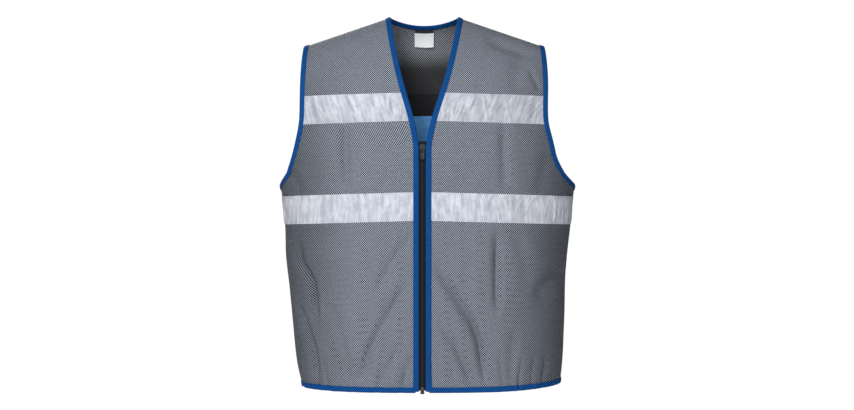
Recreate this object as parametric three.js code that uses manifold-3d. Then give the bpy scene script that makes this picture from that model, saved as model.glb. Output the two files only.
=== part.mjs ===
// A sleeveless zip-front vest of open mesh cloth, as it hangs on the shoulders of whoever wears it.
// Millimetres, +Z up, the front faces -Y. The origin is the seat: midway between the two shoulder
// peaks, at the height of the cloth's underside there. Left and right are the wearer's, so the
// wearer's right side lies towards -X.
import * as THREE from "three";
import { mergeVertices } from "three/addons/utils/BufferGeometryUtils.js";
import Module from "manifold-3d";

const wasm = await Module();
wasm.setup();

// Outline of the whole vest.
const BODY_LENGTH = 666; // shoulder peak down to the hem
const SHOULDER_WIDTH = 434; // tip to tip
const SHOULDER_DROP = 52; // peak down to tip
const NECK_WIDTH = 120; // peak to peak
const NECK_DEPTH = 236; // peak down to where the two front edges run parallel
const BACK_NECK_REACH = 60; // how far the back neckline lies behind the peaks
const ARMHOLE_HEIGHT = 249; // shoulder tip down to the armpit
const CHEST_WIDTH = 530; // across the armpits
const HEM_WIDTH = 462;
const CHEST_SHIFT = 6; // the body hangs this far towards +X at the armpits
const HEM_SHIFT = 13; // and this far at the hem
const ZIP_SHIFT = -3; // the zip hangs this far off the middle
const HEM_LIFT_RIGHT = 3; // the side seams hang this much shorter than the middle
const HEM_LIFT_LEFT = 9;
const FRONT_DEPTH = 132; // side seam forward to the chest
const BACK_DEPTH = 122; // side seam back to the shoulder blades
const CHEST_SPREAD = 23; // the body under the armholes is this much wider than the armpits
const BACK_ARMHOLE_INSET = 5; // the back is narrower than the front between the armholes
const ROUNDNESS = 2.5; // exponent of the level sections: 2 is an ellipse, more is squarer
const RIDGE_REACH = 44; // how far the cloth runs level, front and back, over a shoulder
const NAPE_REACH = 90; // and how far over the nape, where the body is fuller

// Cloth, bindings and tapes.
const CLOTH = 1.0; // mesh wall
const SEAM_GAP = 0.3; // between pieces that are sewn edge to edge
const BINDING_WIDTH = 10;
const BINDING_WALL = 1.0;
const BINDING_CLEARANCE = 1.4; // between the binding and the cloth that it wraps
const TAPE_WIDTH = 50; // reflective tape
const TAPE_WALL = 1.0;
const TAPE_CLEARANCE = 0.4; // between the tape and the mesh
const CHEST_TAPE_DROP = 141; // peak down to the chest tape, at the neck edge
const CHEST_TAPE_SAG = 5; // how much lower it meets the armhole
const WAIST_TAPE_BELOW_ARMPIT = 21;
const WAIST_TAPE_SAG = 7; // how much lower it is at the side seam than at the zip
const PIT_LEVEL_RISE = 10; // the armpit's level line is this much higher at the zip

// Inside of the back.
const LINING_WALL = 1.2;
const LINING_CLEARANCE = 1.0;
const BAND_WIDTH = 40; // dark band along the top of the lining
const BAND_DROP = 131; // peak down to the band
const LABEL_WIDTH = 35;
const LABEL_TAB_HEIGHT = 8; // dark tab over the white label
const LABEL_HEIGHT = 28;
const LABEL_WALL = 1.0;

// Zip.
const ZIP_GAP = 11.6; // between the two front bindings
const ZIP_TAPE_WIDTH = 13;
const ZIP_TAPE_WALL = 1.0;
const ZIP_CLEARANCE = 0.3;
const ZIP_TAPE_CLEARANCE = 0.6; // between the zip's tapes and the bindings in front of them
const CHAIN_WIDTH = 5.6;
const CHAIN_THICKNESS = 2.4;
const CHAIN_PROUD = 0.2; // the chain stands out behind its tapes
const SLIDER_CLEARANCE = 0.6; // between the chain and the slider's plates
const SLIDER_WIDTH = 9.6;
const SLIDER_HEIGHT = 13;
const SLIDER_PLATE = 1.3;
const SLIDER_DROP = 232; // peak down to the top of the slider
const SLIDER_POST = 3.2; // height of the wedge that joins the two plates
const BRIDGE_WIDTH = 1.8;
const BRIDGE_LENGTH = 8;
const BRIDGE_WALL = 1.1;
const WEDGE_FOOT = 1.4; // width of the wedge where the two rows of teeth meet
const PULL_WALL = 1.4;
const PULL_WIDTH = 7.6;
const PULL_LENGTH = 20;
const PULL_CLEARANCE = 0.55;
const PULL_WINDOW_WIDTH = 3.2;
const PULL_WINDOW_LENGTH = 7.4;
const PULL_RAIL = 1.1; // width of the pull on each side of its window
const CORNER = 1; // cut off the corners of the slider and the pull
const BOX_WIDTH = 7;
const BOX_HEIGHT = 11;
const BOX_THICKNESS = 4.4;
const BOX_OVERHANG = 2; // the box reaches this far below the hem

const EDGE = BINDING_CLEARANCE + BINDING_WALL; // finished edge to the edge of the mesh
const SIDES = [
  { name: "right", sign: -1, lift: HEM_LIFT_RIGHT },
  { name: "left", sign: 1, lift: HEM_LIFT_LEFT },
];

// Side line below the armpit: share of the way down to the hem, and for each side the share of
// the way from the hem's half width out to the chest's.
const SIDE_LINE = [
  { down: 0, right: 1, left: 1 },
  { down: 0.07, right: 0.9, left: 0.88 },
  { down: 0.2, right: 0.79, left: 0.71 },
  { down: 0.36, right: 0.74, left: 0.47 },
  { down: 0.5, right: 0.6, left: 0.36 },
  { down: 0.7, right: 0.43, left: 0.29 },
  { down: 0.88, right: 0.26, left: 0.18 },
  { down: 1, right: 0, left: 0 },
];
// Armhole edge: share of the way down from the tip to the armpit, and share of the way out, for
// each side.
const ARMHOLE_LINE = [
  { down: 0, right: 0, left: 0 },
  { down: 0.2, right: 0.07, left: 0.06 },
  { down: 0.4, right: 0.06, left: 0.03 },
  { down: 0.55, right: 0.09, left: 0.04 },
  { down: 0.69, right: 0.24, left: 0.19 },
  { down: 0.83, right: 0.46, left: 0.38 },
  { down: 0.92, right: 0.68, left: 0.61 },
  { down: 0.97, right: 0.88, left: 0.84 },
  { down: 1, right: 1, left: 1 },
];
// Depth of the body in front of and behind the side seams: share of the body's length down from
// the peak, and shares of the two depths.
const DEPTH_LINE = [
  { down: 0.2, front: 0.87, back: 0.93 },
  { down: 0.28, front: 0.955, back: 0.99 },
  { down: 0.36, front: 0.995, back: 1 },
  { down: 0.48, front: 1, back: 0.95 },
  { down: 0.62, front: 0.985, back: 0.89 },
  { down: 0.8, front: 0.975, back: 0.9 },
  { down: 1, front: 0.94, back: 0.92 },
];
// Folds: which panel, the two ends of the fold's line (across as a share of half the chest's
// width, signed by side, and down as a share of the body's length), depth inwards and half width.
const FOLDS = [
  { face: "front", x1: -0.91, down1: 0.6, x2: -0.75, down2: 0.74, depth: 7, width: 17 },
  { face: "front", x1: -0.75, down1: 0.74, x2: -0.72, down2: 0.82, depth: 4, width: 15 },
  { face: "front", x1: -0.86, down1: 0.76, x2: -0.77, down2: 0.89, depth: 4, width: 9 },
  { face: "front", x1: 0.18, down1: 0.7, x2: 0.33, down2: 0.85, depth: 5, width: 11 },
  { face: "front", x1: 0.33, down1: 0.85, x2: 0.41, down2: 0.95, depth: 6, width: 12 },
  { face: "front", x1: 0.47, down1: 0.6, x2: 0.5, down2: 0.8, depth: 4, width: 12 },
  { face: "front", x1: 0.76, down1: 0.66, x2: 0.84, down2: 0.76, depth: 6, width: 24 },
  { face: "front", x1: -0.78, down1: 0.93, x2: -0.7, down2: 0.99, depth: 3, width: 8 },
  { face: "front", x1: 0.6, down1: 0.9, x2: 0.64, down2: 0.98, depth: 3, width: 10 },
  { face: "back", x1: -0.4, down1: 0.55, x2: -0.5, down2: 0.9, depth: 6, width: 22 },
  { face: "back", x1: 0.1, down1: 0.62, x2: 0.06, down2: 0.95, depth: 5, width: 24 },
  { face: "back", x1: 0.55, down1: 0.5, x2: 0.62, down2: 0.88, depth: 6, width: 22 },
];

const PIT_DROP = SHOULDER_DROP + ARMHOLE_HEIGHT;
const waistTapeTop = -(PIT_DROP + WAIST_TAPE_BELOW_ARMPIT);
// Level lines from the hem up to the chest tape: heights at the front edge and at the outer edge.
// The back's lines are level, at the height of the outer edge.
const LEVELS = [
  { name: "hem", middle: EDGE - BODY_LENGTH, outer: EDGE - BODY_LENGTH },
  {
    name: "waist tape bottom",
    middle: waistTapeTop + WAIST_TAPE_SAG - TAPE_WIDTH,
    outer: waistTapeTop - TAPE_WIDTH,
  },
  { name: "waist tape top", middle: waistTapeTop + WAIST_TAPE_SAG, outer: waistTapeTop },
  { name: "armpit", middle: PIT_LEVEL_RISE - PIT_DROP - EDGE, outer: -PIT_DROP - EDGE },
  {
    name: "chest tape bottom",
    middle: -CHEST_TAPE_DROP - TAPE_WIDTH,
    outer: -CHEST_TAPE_DROP - CHEST_TAPE_SAG - TAPE_WIDTH,
  },
  { name: "chest tape top", middle: -CHEST_TAPE_DROP, outer: -CHEST_TAPE_DROP - CHEST_TAPE_SAG },
];
const [HEM, WAIST_LOW, WAIST_HIGH, PIT, CHEST_LOW, CHEST_HIGH] = LEVELS.keys();
const TOP = CHEST_HIGH + 1; // the shoulder seams and the back neckline
const PIT_CROWDING = 1.6; // level lines lie closer together just above the armpit
const NECKLINE_CURVE = 0.7; // share of the neckline's opening that is S-shaped; the rest bows out
const SHOULDER_LEAVE = 0.36; // how far a shoulder's curve goes on straight up from the chest
const NAPE_SPREAD = 0.7; // share of the way to the shoulder tip over which the nape's fullness ends
const BELOW = 0.05; // a short way below a level line, as a share of the span between two
const HALVINGS = 24; // of a span, in a search for a place along it

const { lerp, clamp } = THREE.MathUtils;
const vec = (x, y, z) => new THREE.Vector3(x, y, z);
const smooth = (t) => clamp(t, 0, 1) ** 2 * (3 - 2 * clamp(t, 0, 1));

// A table's column at a place along it, on a smooth curve through the rows.
function along(table, at, column) {
  const last = table.length - 2;
  const found = table.findIndex((row, i) => i > 0 && at <= row.down) - 1;
  const k = found < 0 ? (at <= table[0].down ? 0 : last) : found;
  const slope = (i, j) => (table[j][column] - table[i][column]) / (table[j].down - table[i].down);
  const before = k > 0 ? slope(k - 1, k + 1) : slope(k, k + 1);
  const after = k < last ? slope(k, k + 2) : slope(k, k + 1);
  const span = table[k + 1].down - table[k].down;
  const t = clamp((at - table[k].down) / span, 0, 1);
  const bend = t * (1 - t) * span;
  return (
    lerp(table[k][column], table[k + 1][column], smooth(t)) +
    bend * ((1 - t) * before - t * after)
  );
}

// Half width of the body at a height, on one side: the side line, then straight up past the
// armhole, where the body is wider than the cloth.
function halfWidth(z, side) {
  const chest = CHEST_WIDTH / 2 + side.sign * CHEST_SHIFT;
  const hem = HEM_WIDTH / 2 + side.sign * HEM_SHIFT;
  if (-z >= PIT_DROP) {
    return lerp(hem, chest, along(SIDE_LINE, (-z - PIT_DROP) / (BODY_LENGTH - PIT_DROP), side.name));
  }
  return chest + CHEST_SPREAD * smooth((z + PIT_DROP) / (PIT_DROP - CHEST_TAPE_DROP));
}

// Distance of the armhole edge from the middle, at a height.
function armholeEdge(z, side, face) {
  const chest = CHEST_WIDTH / 2 + side.sign * CHEST_SHIFT;
  const down = clamp((-z - SHOULDER_DROP) / (ARMHOLE_HEIGHT + EDGE), 0, 1);
  const out = along(ARMHOLE_LINE, down, side.name);
  const inset = face.name === "back" ? BACK_ARMHOLE_INSET * (1 - out) : 0;
  return lerp(SHOULDER_WIDTH / 2 - EDGE, chest, out) - inset;
}

// Signed place of the front edge: along the zip, then up the neckline.
function frontEdge(z, side) {
  const up = clamp(1 + z / NECK_DEPTH, 0, 1);
  const open = lerp(Math.sin((up * Math.PI) / 2), smooth(up), NECKLINE_CURVE);
  return ZIP_SHIFT * (1 - open) + side.sign * (lerp(ZIP_GAP, NECK_WIDTH, open) / 2 + EDGE);
}

// Depth of the body at a place on a level section, signed to the front or the back.
function bodyDepth(x, z, side, face) {
  const share = Math.min(Math.abs(x) / halfWidth(z, side), 1);
  const depth = face.depth * along(DEPTH_LINE, -z / BODY_LENGTH, face.name);
  return face.sign * depth * (1 - share ** ROUNDNESS) ** (1 / ROUNDNESS);
}

// Height of a level line at its outer edge.
function outerHeight(v) {
  const k = clamp(Math.floor(v), HEM, CHEST_LOW);
  return lerp(LEVELS[k].outer, LEVELS[k + 1].outer, k === PIT ? (v - k) ** PIT_CROWDING : v - k);
}

// Share of the way across a level line at u. Equal steps of u are equal angles on the section.
function shareAcross(face, side, u, v) {
  const z = outerHeight(Math.min(v, CHEST_HIGH));
  const cut = v > PIT ? armholeEdge(z, side, face) / halfWidth(z, side) : 1;
  const quarter = Math.asin(Math.min(cut, 1));
  return Math.sin(quarter * clamp(Math.abs(u), 0, 1)) / Math.sin(quarter);
}

// A point below the chest tape's upper edge.
function levelPoint(face, side, share, v) {
  const k = clamp(Math.floor(v), HEM, CHEST_LOW);
  const outer = outerHeight(v);
  const middle =
    face.name === "back" ? outer : lerp(LEVELS[k].middle, LEVELS[k + 1].middle, v - k);
  const lift = side.lift * smooth(1 - v) * share ** 4;
  const z = lerp(middle, outer, share);
  const inner = face.name === "back" ? 0 : frontEdge(z, side);
  const edge = z <= -PIT_DROP - EDGE ? halfWidth(z, side) : armholeEdge(z, side, face);
  const x = lerp(inner, side.sign * edge, share);
  return vec(x, bodyDepth(x, z, side, face), z + lift);
}

// The ridge of the shoulders. On the back it runs on over the neck opening, level in the middle.
const NECK_SHARE = NECK_WIDTH / SHOULDER_WIDTH; // the peak's share of the way to the tip, behind
function ridgePoint(face, side, share) {
  const peak = NECK_WIDTH / 2 + EDGE;
  const tip = SHOULDER_WIDTH / 2 - EDGE;
  const start = face.name === "back" ? NECK_SHARE : 0;
  const out = (share - start) / (1 - start);
  if (out >= 0) return vec(side.sign * lerp(peak, tip, out), 0, -SHOULDER_DROP * out);
  const x = (peak * share) / NECK_SHARE;
  const slope = SHOULDER_DROP / (tip - peak);
  return vec(side.sign * x, 0, (slope * (peak ** 2 - x ** 2)) / (2 * peak));
}

// A point above the chest tape, on a curve up from the body and level over the shoulder. Behind
// the neck the curve ends early, at the neckline.
function shoulderPoint(face, side, share, v) {
  const start = levelPoint(face, side, share, CHEST_HIGH);
  const rise = levelPoint(face, side, share, CHEST_HIGH - BELOW);
  const end = ridgePoint(face, side, share);
  const leave = start.clone().sub(rise).setLength(SHOULDER_LEAVE * start.distanceTo(end)).add(start);
  const nape = face.name === "back" ? smooth(1 - share / NAPE_SPREAD) : 0;
  const arrive = end.clone().add(vec(0, face.sign * lerp(RIDGE_REACH, NAPE_REACH, nape), 0));
  const curve = new THREE.CubicBezierCurve3(start, leave, arrive, end);
  const length = face.name === "back" && share < NECK_SHARE ? necklineCut(curve, share) : 1;
  return curve.getPoint((v - CHEST_HIGH) * length);
}

// Share of a curve that lies below the back neckline.
function necklineCut(curve, share) {
  const depth = (BACK_NECK_REACH + EDGE) * Math.sqrt(1 - (share / NECK_SHARE) ** 2);
  let [below, above] = [0, 1];
  for (let i = 0; i < HALVINGS; i++) {
    const middle = (below + above) / 2;
    if (curve.getPoint(middle).y > depth) below = middle;
    else above = middle;
  }
  return above;
}

// The face of the body under the cloth. u runs from the front edge (or the middle of the back) to
// the outer edge, and v from the hem (0) up through the level lines to the shoulder seam (TOP).
function bodyPoint(face, u, v) {
  const side = face.side ?? SIDES[u < 0 ? 0 : 1];
  const at = clamp(v, HEM, TOP);
  const share = shareAcross(face, side, u, at);
  const p =
    at <= CHEST_HIGH ? levelPoint(face, side, share, at) : shoulderPoint(face, side, share, at);
  return p.setY(p.y + (face.sign * SEAM_GAP) / 2);
}

// Normal of the body, before the folds. The level sections have a formula. Over the shoulders the
// normal is square to the two ways across the surface.
function bodyNormal(face, p, u, v) {
  if (v <= CHEST_HIGH) {
    const side = SIDES[p.x < 0 ? 0 : 1];
    const width = (z) => halfWidth(z, side);
    const depth = (z) => Math.abs(bodyDepth(0, z, side, face));
    const change = (size) => (size(p.z + 1) - size(p.z - 1)) / (2 * size(p.z));
    const x = (Math.abs(p.x) / width(p.z)) ** ROUNDNESS;
    const y = (Math.abs(p.y) / depth(p.z)) ** ROUNDNESS;
    const rise = -x * change(width) - y * change(depth);
    return vec(p.x ? x / p.x : 0, y / p.y, rise).normalize();
  }
  const step = BELOW / 12;
  const low = face.name === "back" ? -1 : 0;
  const [left, right] = [Math.max(u - step, low), Math.min(u + step, 1)];
  const across = bodyPoint(face, right, v).sub(bodyPoint(face, left, v));
  const up = bodyPoint(face, u, v + step).sub(bodyPoint(face, u, v - step));
  return across.cross(up).normalize().multiplyScalar(face.side?.sign ?? -1);
}

// How far the folds push the cloth inwards at a point.
function foldDepth(p, face) {
  const flat = new THREE.Vector2(p.x / (CHEST_WIDTH / 2), -p.z / BODY_LENGTH);
  return FOLDS.filter((fold) => fold.face === face.name).reduce((sum, fold) => {
    const from = new THREE.Vector2(fold.x1, fold.down1);
    const run = new THREE.Vector2(fold.x2, fold.down2).sub(from);
    const place = flat.clone().sub(from);
    const t = clamp(place.dot(run) / run.lengthSq(), 0, 1);
    const off = place.sub(run.multiplyScalar(t));
    const distance = Math.hypot((off.x * CHEST_WIDTH) / 2, off.y * BODY_LENGTH);
    return sum + fold.depth * Math.exp(-((distance / fold.width) ** 2));
  }, 0);
}

// A place on the cloth: the point on its inner face and the normal outwards.
function cloth(face, u, v) {
  const p = bodyPoint(face, u, v);
  const normal = bodyNormal(face, p, u, v);
  const level = vec(-normal.y, normal.x, 0).normalize();
  const slopes = [level, level.clone().cross(normal)].map((way) => {
    const [ahead, behind] = [1, -1].map((step) => p.clone().addScaledVector(way, step));
    return way.multiplyScalar((foldDepth(ahead, face) - foldDepth(behind, face)) / 2);
  });
  const point = p.addScaledVector(normal, -foldDepth(p, face));
  return { point, normal: normal.add(slopes[0]).add(slopes[1]).normalize() };
}

const FRONTS = SIDES.map((side) => ({ name: "front", sign: -1, depth: FRONT_DEPTH, side }));
const BACK = { name: "back", sign: 1, depth: BACK_DEPTH };

// A closed mesh from its points and faces, with the faces turned outwards.
function closedMesh(points, faces) {
  const volume = faces.reduce(
    (sum, [a, b, c]) => sum + points[a].dot(points[b].clone().cross(points[c])),
    0,
  );
  const outwards = volume > 0 ? faces : faces.map(([a, b, c]) => [a, c, b]);
  return new THREE.BufferGeometry()
    .setAttribute("position", new THREE.Float32BufferAttribute(points.flatMap((p) => [...p]), 3))
    .setIndex(outwards.flat());
}

// A solid skinned over sections, each the same number of points round its outline.
function skin(sections, { closed = false } = {}) {
  const round = sections[0].length;
  const count = sections.length;
  const faces = [];
  for (let i = 0; i < (closed ? count : count - 1); i++) {
    for (let j = 0; j < round; j++) {
      const [a, b] = [i * round + j, i * round + ((j + 1) % round)];
      const next = ((i + 1) % count) * round;
      const [c, d] = [next + j, next + ((j + 1) % round)];
      faces.push([a, b, d], [a, d, c]);
    }
  }
  if (!closed) {
    [0, count - 1].forEach((i) => {
      capOf(sections[i]).forEach(([a, b, c]) => {
        const cap = [i * round + a, i * round + b, i * round + c];
        faces.push(i === 0 ? cap.reverse() : cap);
      });
    });
  }
  return closedMesh(sections.flat(), faces);
}

// Triangles that fill a flat section, wound the way its outline runs.
function capOf(section) {
  const middle = section.reduce((sum, p) => sum.add(p), vec(0, 0, 0)).divideScalar(section.length);
  const normal = section.reduce((sum, p, i) => {
    const next = section[(i + 1) % section.length];
    return sum.add(p.clone().sub(middle).cross(next.clone().sub(middle)));
  }, vec(0, 0, 0));
  const flat = new THREE.Quaternion().setFromUnitVectors(normal.normalize(), vec(0, 0, 1));
  const outline = section.map((p) => p.clone().sub(middle).applyQuaternion(flat));
  return THREE.ShapeUtils.triangulateShape(outline.map((p) => new THREE.Vector2(p.x, p.y)), []);
}

// A sheet between two offsets from the cloth's inner face, over a grid of places.
function sheet(face, across, up, inner, outer) {
  const grid = up.map((v) => across(v).map((u) => cloth(face, u, v)));
  const offset = ({ point, normal }, distance) => point.clone().addScaledVector(normal, distance);
  const sections = grid.map((row) => [
    ...row.map((at) => offset(at, outer)),
    ...row.map((at) => offset(at, inner)).reverse(),
  ]);
  const width = grid[0].length;
  const round = 2 * width;
  const faces = [];
  for (let i = 0; i < sections.length - 1; i++) {
    for (let j = 0; j < round; j++) {
      const [a, b] = [i * round + j, i * round + ((j + 1) % round)];
      const outside = j < width - 1;
      faces.push([a, b, outside ? b + round : a + round]);
      faces.push([outside ? a : b, b + round, a + round]);
    }
  }
  [0, sections.length - 1].forEach((i) => {
    for (let j = 0; j < width - 1; j++) {
      const [a, b] = [i * round + j, i * round + j + 1];
      const [c, d] = [i * round + round - 2 - j, i * round + round - 1 - j];
      const cap = [[a, b, c], [a, c, d]];
      faces.push(...(i === 0 ? cap.map((f) => f.reverse()) : cap));
    }
  });
  return closedMesh(sections.flat(), faces);
}

const steps = (from, to, count) =>
  Array.from({ length: count + 1 }, (_, i) => lerp(from, to, i / count));

const FLAP = BINDING_WIDTH - EDGE; // how far a binding covers the cloth
const levelAbove = (height) => height / (LEVELS[WAIST_LOW].outer - LEVELS[HEM].outer);
const ABOVE_FLAP = levelAbove(FLAP);
const ABOVE_BINDING = levelAbove(FLAP + 2 * SEAM_GAP);
// Level lines of the panels' grids.
const LOWER_ROWS = [HEM, ABOVE_FLAP, ...steps(HEM, WAIST_LOW, 6).slice(1)];
const TAPE_ROWS = [WAIST_LOW + 0.5, WAIST_HIGH, PIT - 0.5, PIT];
const PIT_ROWS = [0.04, 0.12, 0.23, 0.42, 0.7].map((step) => PIT + step);
const CHEST_ROWS = [CHEST_LOW, CHEST_LOW + 0.5, CHEST_HIGH];
const SHOULDER_ROWS = [0.22, 0.42, 0.6, 0.75, 0.87, 0.94, 0.98, 1].map((step) => CHEST_HIGH + step);
const ROWS = [...LOWER_ROWS, ...TAPE_ROWS, ...PIT_ROWS, ...CHEST_ROWS, ...SHOULDER_ROWS];
const MIDDLE_COLUMNS = 8; // between the two bindings of a front
const OUTER_COLUMNS = 6; // from the back neckline's end to the armhole's binding
const SIDE_CROWDING = 1.35; // columns lie closer together towards the side seams
const LONGEST_REACH = 11; // along a level line, from the edge to the end of a binding's flap

// The place on a level line that lies some distance from its start, or from its end.
function inset(face, v, from, to, distance) {
  const start = cloth(face, from, v).point;
  let [near, far] = [from, to];
  for (let i = 0; i < HALVINGS; i++) {
    const middle = (near + far) / 2;
    if (cloth(face, middle, v).point.distanceTo(start) < distance) near = middle;
    else far = middle;
  }
  return (near + far) / 2;
}

// Where a level line leaves the binding of the edge that it starts from, or ends at.
function clearOfBinding(face, v, from, to, gap = 0) {
  const at = cloth(face, from, v).point;
  const row = cloth(face, from + (Math.sign(to - from) * BELOW) / 2, v).point.sub(at);
  const edge = cloth(face, from, v < PIT || v === TOP ? v - BELOW : v + BELOW).point.sub(at);
  const slant = Math.sin(row.angleTo(edge));
  return inset(face, v, from, to, Math.min((FLAP + gap) / slant, LONGEST_REACH + gap));
}

const crowded = (from, to, count) =>
  steps(0, 1, count).map((t) => lerp(to, from, (1 - t) ** SIDE_CROWDING));

// Columns of a front's grid between its two bindings.
const frontColumns = (face, v) =>
  crowded(clearOfBinding(face, v, 0, 1), clearOfBinding(face, v, 1, 0), MIDDLE_COLUMNS);

// The back's columns at the neckline: the label's edge and on to the shoulder seam.
const NECK_COLUMNS = steps(Math.asin(LABEL_WIDTH / NECK_WIDTH), Math.PI / 2, 5).map((angle) => {
  const cut = armholeEdge(outerHeight(CHEST_HIGH), SIDES[1], { name: "back" });
  const quarter = Math.asin(cut / halfWidth(outerHeight(CHEST_HIGH), SIDES[1]));
  return Math.asin((Math.sin(angle) * Math.sin(quarter) * NECK_WIDTH) / SHOULDER_WIDTH) / quarter;
});
const NECK_U = NECK_COLUMNS.at(-1);

function backColumns(v) {
  const half = (end) => {
    const last = Math.abs(clearOfBinding(BACK, v, end, 0));
    return [...NECK_COLUMNS.slice(0, -1), ...crowded(NECK_U, last, OUTER_COLUMNS)];
  };
  return [...half(-1).reverse().map((u) => -u), 0, ...half(1)];
}

function frontPanel(face) {
  return sheet(face, (v) => [0, ...frontColumns(face, v), 1], ROWS, 0, CLOTH);
}

// The levels of the dark band's edges on the back.
const bandAboveTape = CHEST_TAPE_DROP + CHEST_TAPE_SAG - BAND_DROP;
const BAND_LOW = CHEST_LOW + (TAPE_WIDTH + bandAboveTape - BAND_WIDTH) / TAPE_WIDTH;
const BAND_HIGH = CHEST_HIGH + bandAboveTape / (CHEST_TAPE_DROP + SHOULDER_DROP);
const BACK_ROWS = [...ROWS, BAND_HIGH].sort((a, b) => a - b);

function backPanel() {
  return sheet(BACK, (v) => [-1, ...backColumns(v), 1], BACK_ROWS, 0, CLOTH);
}

// Reflective tape on a front, from the binding of the front edge to the armhole's binding or,
// lower down, to the side seam.
function frontTape(face, low, high) {
  const columns = (v) => {
    const first = clearOfBinding(face, v, 0, 1, TAPE_CLEARANCE);
    const inner = frontColumns(face, v).slice(1, -1);
    const last = clearOfBinding(face, v, 1, 0, high <= PIT ? 0 : TAPE_CLEARANCE);
    return high <= PIT ? [first, ...inner, last, 1] : [first, ...inner, last];
  };
  return tape(face, columns, low, high);
}

function backTape(low, high) {
  const columns = (v) => {
    if (high <= PIT) return [-1, ...backColumns(v), 1];
    const ends = [-1, 1].map((end) => clearOfBinding(BACK, v, end, 0, TAPE_CLEARANCE));
    return [ends[0], ...backColumns(v).slice(1, -1), ends[1]];
  };
  return tape(BACK, columns, low, high);
}

function tape(face, columns, low, high) {
  const offset = CLOTH + TAPE_CLEARANCE;
  return sheet(face, columns, [low, (low + high) / 2, high], offset, offset + TAPE_WALL);
}

// The section of a binding folded over an edge: at is a place on the edge, into the direction
// along the cloth away from the edge, and flap the place where the two flaps end.
function bindingSection(at, into, flap) {
  const [outer, inner] = [CLOTH + BINDING_CLEARANCE, -BINDING_CLEARANCE];
  const onEdge = (distance, height) =>
    at.point.clone().addScaledVector(into, distance).addScaledVector(at.normal, height);
  const onFlap = (height) => flap.point.clone().addScaledVector(flap.normal, height);
  return [
    onFlap(outer + BINDING_WALL),
    onEdge(-EDGE, outer + BINDING_WALL),
    onEdge(-EDGE, inner - BINDING_WALL),
    onFlap(inner - BINDING_WALL),
    onFlap(inner),
    onEdge(-BINDING_CLEARANCE, inner),
    onEdge(-BINDING_CLEARANCE, outer),
    onFlap(outer),
  ];
}

// Places along an edge, each with the direction into the cloth, square to the edge.
function edgeStations(places, closed) {
  const count = places.length;
  return places.map((place, i) => {
    const { at, inward } = place;
    const before = places[closed ? (i + count - 1) % count : Math.max(i - 1, 0)].at.point;
    const after = places[closed ? (i + 1) % count : Math.min(i + 1, count - 1)].at.point;
    const into = after.clone().sub(before).cross(at.normal).normalize();
    return { ...place, into: into.multiplyScalar(Math.sign(into.dot(inward))) };
  });
}

const FIRST_STEP = 0.08; // of the search, as a share of the way across or up
const LAST_STEP = 0.0003;
// The place on the cloth nearest to a target, searched for from a place close by.
function nearest(face, target, u, v) {
  const lowest = face.name === "back" ? -1 : 0;
  const place = (a, b) => {
    const found = cloth(face, a, b);
    return { a, b, found, miss: found.point.distanceTo(target) };
  };
  let best = place(u, v);
  for (let step = FIRST_STEP; step > LAST_STEP; ) {
    const tries = [[step, 0], [-step, 0], [0, step], [0, -step]].map(([du, dv]) =>
      place(clamp(best.a + du, lowest, 1), clamp(best.b + dv, HEM, TOP)),
    );
    const better = tries.reduce((one, other) => (other.miss < one.miss ? other : one));
    if (better.miss < best.miss) best = better;
    else step /= 2;
  }
  return best;
}

// The place that a binding's flap reaches, going square in from the edge. The columns crowd
// together towards the armpit, so the search starts on both sides of its level there.
function flapPlace({ face, u, v, at, into }) {
  const target = at.point.clone().addScaledVector(into, FLAP);
  const starts = v > CHEST_LOW ? [[u, v]] : [[u, v], [u, PIT - 0.5], [0.9 * u, PIT - 0.3]];
  const found = starts.map(([a, b]) => nearest(face, target, a, b));
  return found.reduce((one, other) => (other.miss < one.miss ? other : one)).found;
}

// Up the right front edge, round the back of the neck and down the left front edge.
function neckBinding() {
  const rows = [ABOVE_BINDING, ...ROWS.filter((v) => v > ABOVE_BINDING)];
  const edge = (face) =>
    rows.map((v) => ({
      face,
      v,
      at: cloth(face, 0, v),
      inward: vec(face.side.sign, 0, 0),
      flap: cloth(face, clearOfBinding(face, v, 0, 1), v),
    }));
  const half = [...NECK_COLUMNS.slice(0, -1), (NECK_U + NECK_COLUMNS.at(-2)) / 2];
  const behind = [...half.map((u) => -u).reverse(), 0, ...half].map((u) => ({
    face: BACK,
    u,
    v: TOP,
    at: cloth(BACK, u, TOP),
    inward: vec(u, 0, -0.3),
  }));
  const places = [...edge(FRONTS[0]), ...behind, ...edge(FRONTS[1]).reverse()];
  const stations = edgeStations(places, false);
  return skin(stations.map((s) => bindingSection(s.at, s.into, s.flap ?? flapPlace(s))));
}

function armholeBinding(side, front) {
  const edge = (face, u, rows) =>
    rows.filter((v) => v >= PIT).map((v) => ({
      face,
      u,
      v,
      at: cloth(face, u, v),
      inward: v < PIT + 0.25 ? vec(0, 0, -1) : vec(-side.sign, 0, 0),
      flap: v >= CHEST_LOW ? cloth(face, clearOfBinding(face, v, u, 0), v) : undefined,
    }));
  const behind = edge(BACK, side.sign, BACK_ROWS).slice(1, -1).reverse();
  const stations = edgeStations([...edge(front, 1, ROWS), ...behind], true);
  const sections = stations.map((s) => bindingSection(s.at, s.into, s.flap ?? flapPlace(s)));
  return skin(sections, { closed: true });
}

// From the zip round the back to the zip.
function hemBinding() {
  const edge = (face, columns) =>
    columns(HEM).map((u, i) => ({
      at: cloth(face, u, HEM),
      inward: vec(0, 0, 1),
      flap: cloth(face, columns(ABOVE_FLAP)[i], ABOVE_FLAP),
    }));
  const front = (face) => edge(face, (v) => [0, ...frontColumns(face, v), 1]);
  const places = [
    ...front(FRONTS[0]),
    ...edge(BACK, (v) => backColumns(v)),
    ...front(FRONTS[1]).reverse(),
  ];
  const stations = edgeStations(places, false);
  return skin(stations.map((s) => bindingSection(s.at, s.into, s.flap)));
}

const LINING_COLUMNS = (v) => backColumns(v).slice(2, -2);

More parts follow.
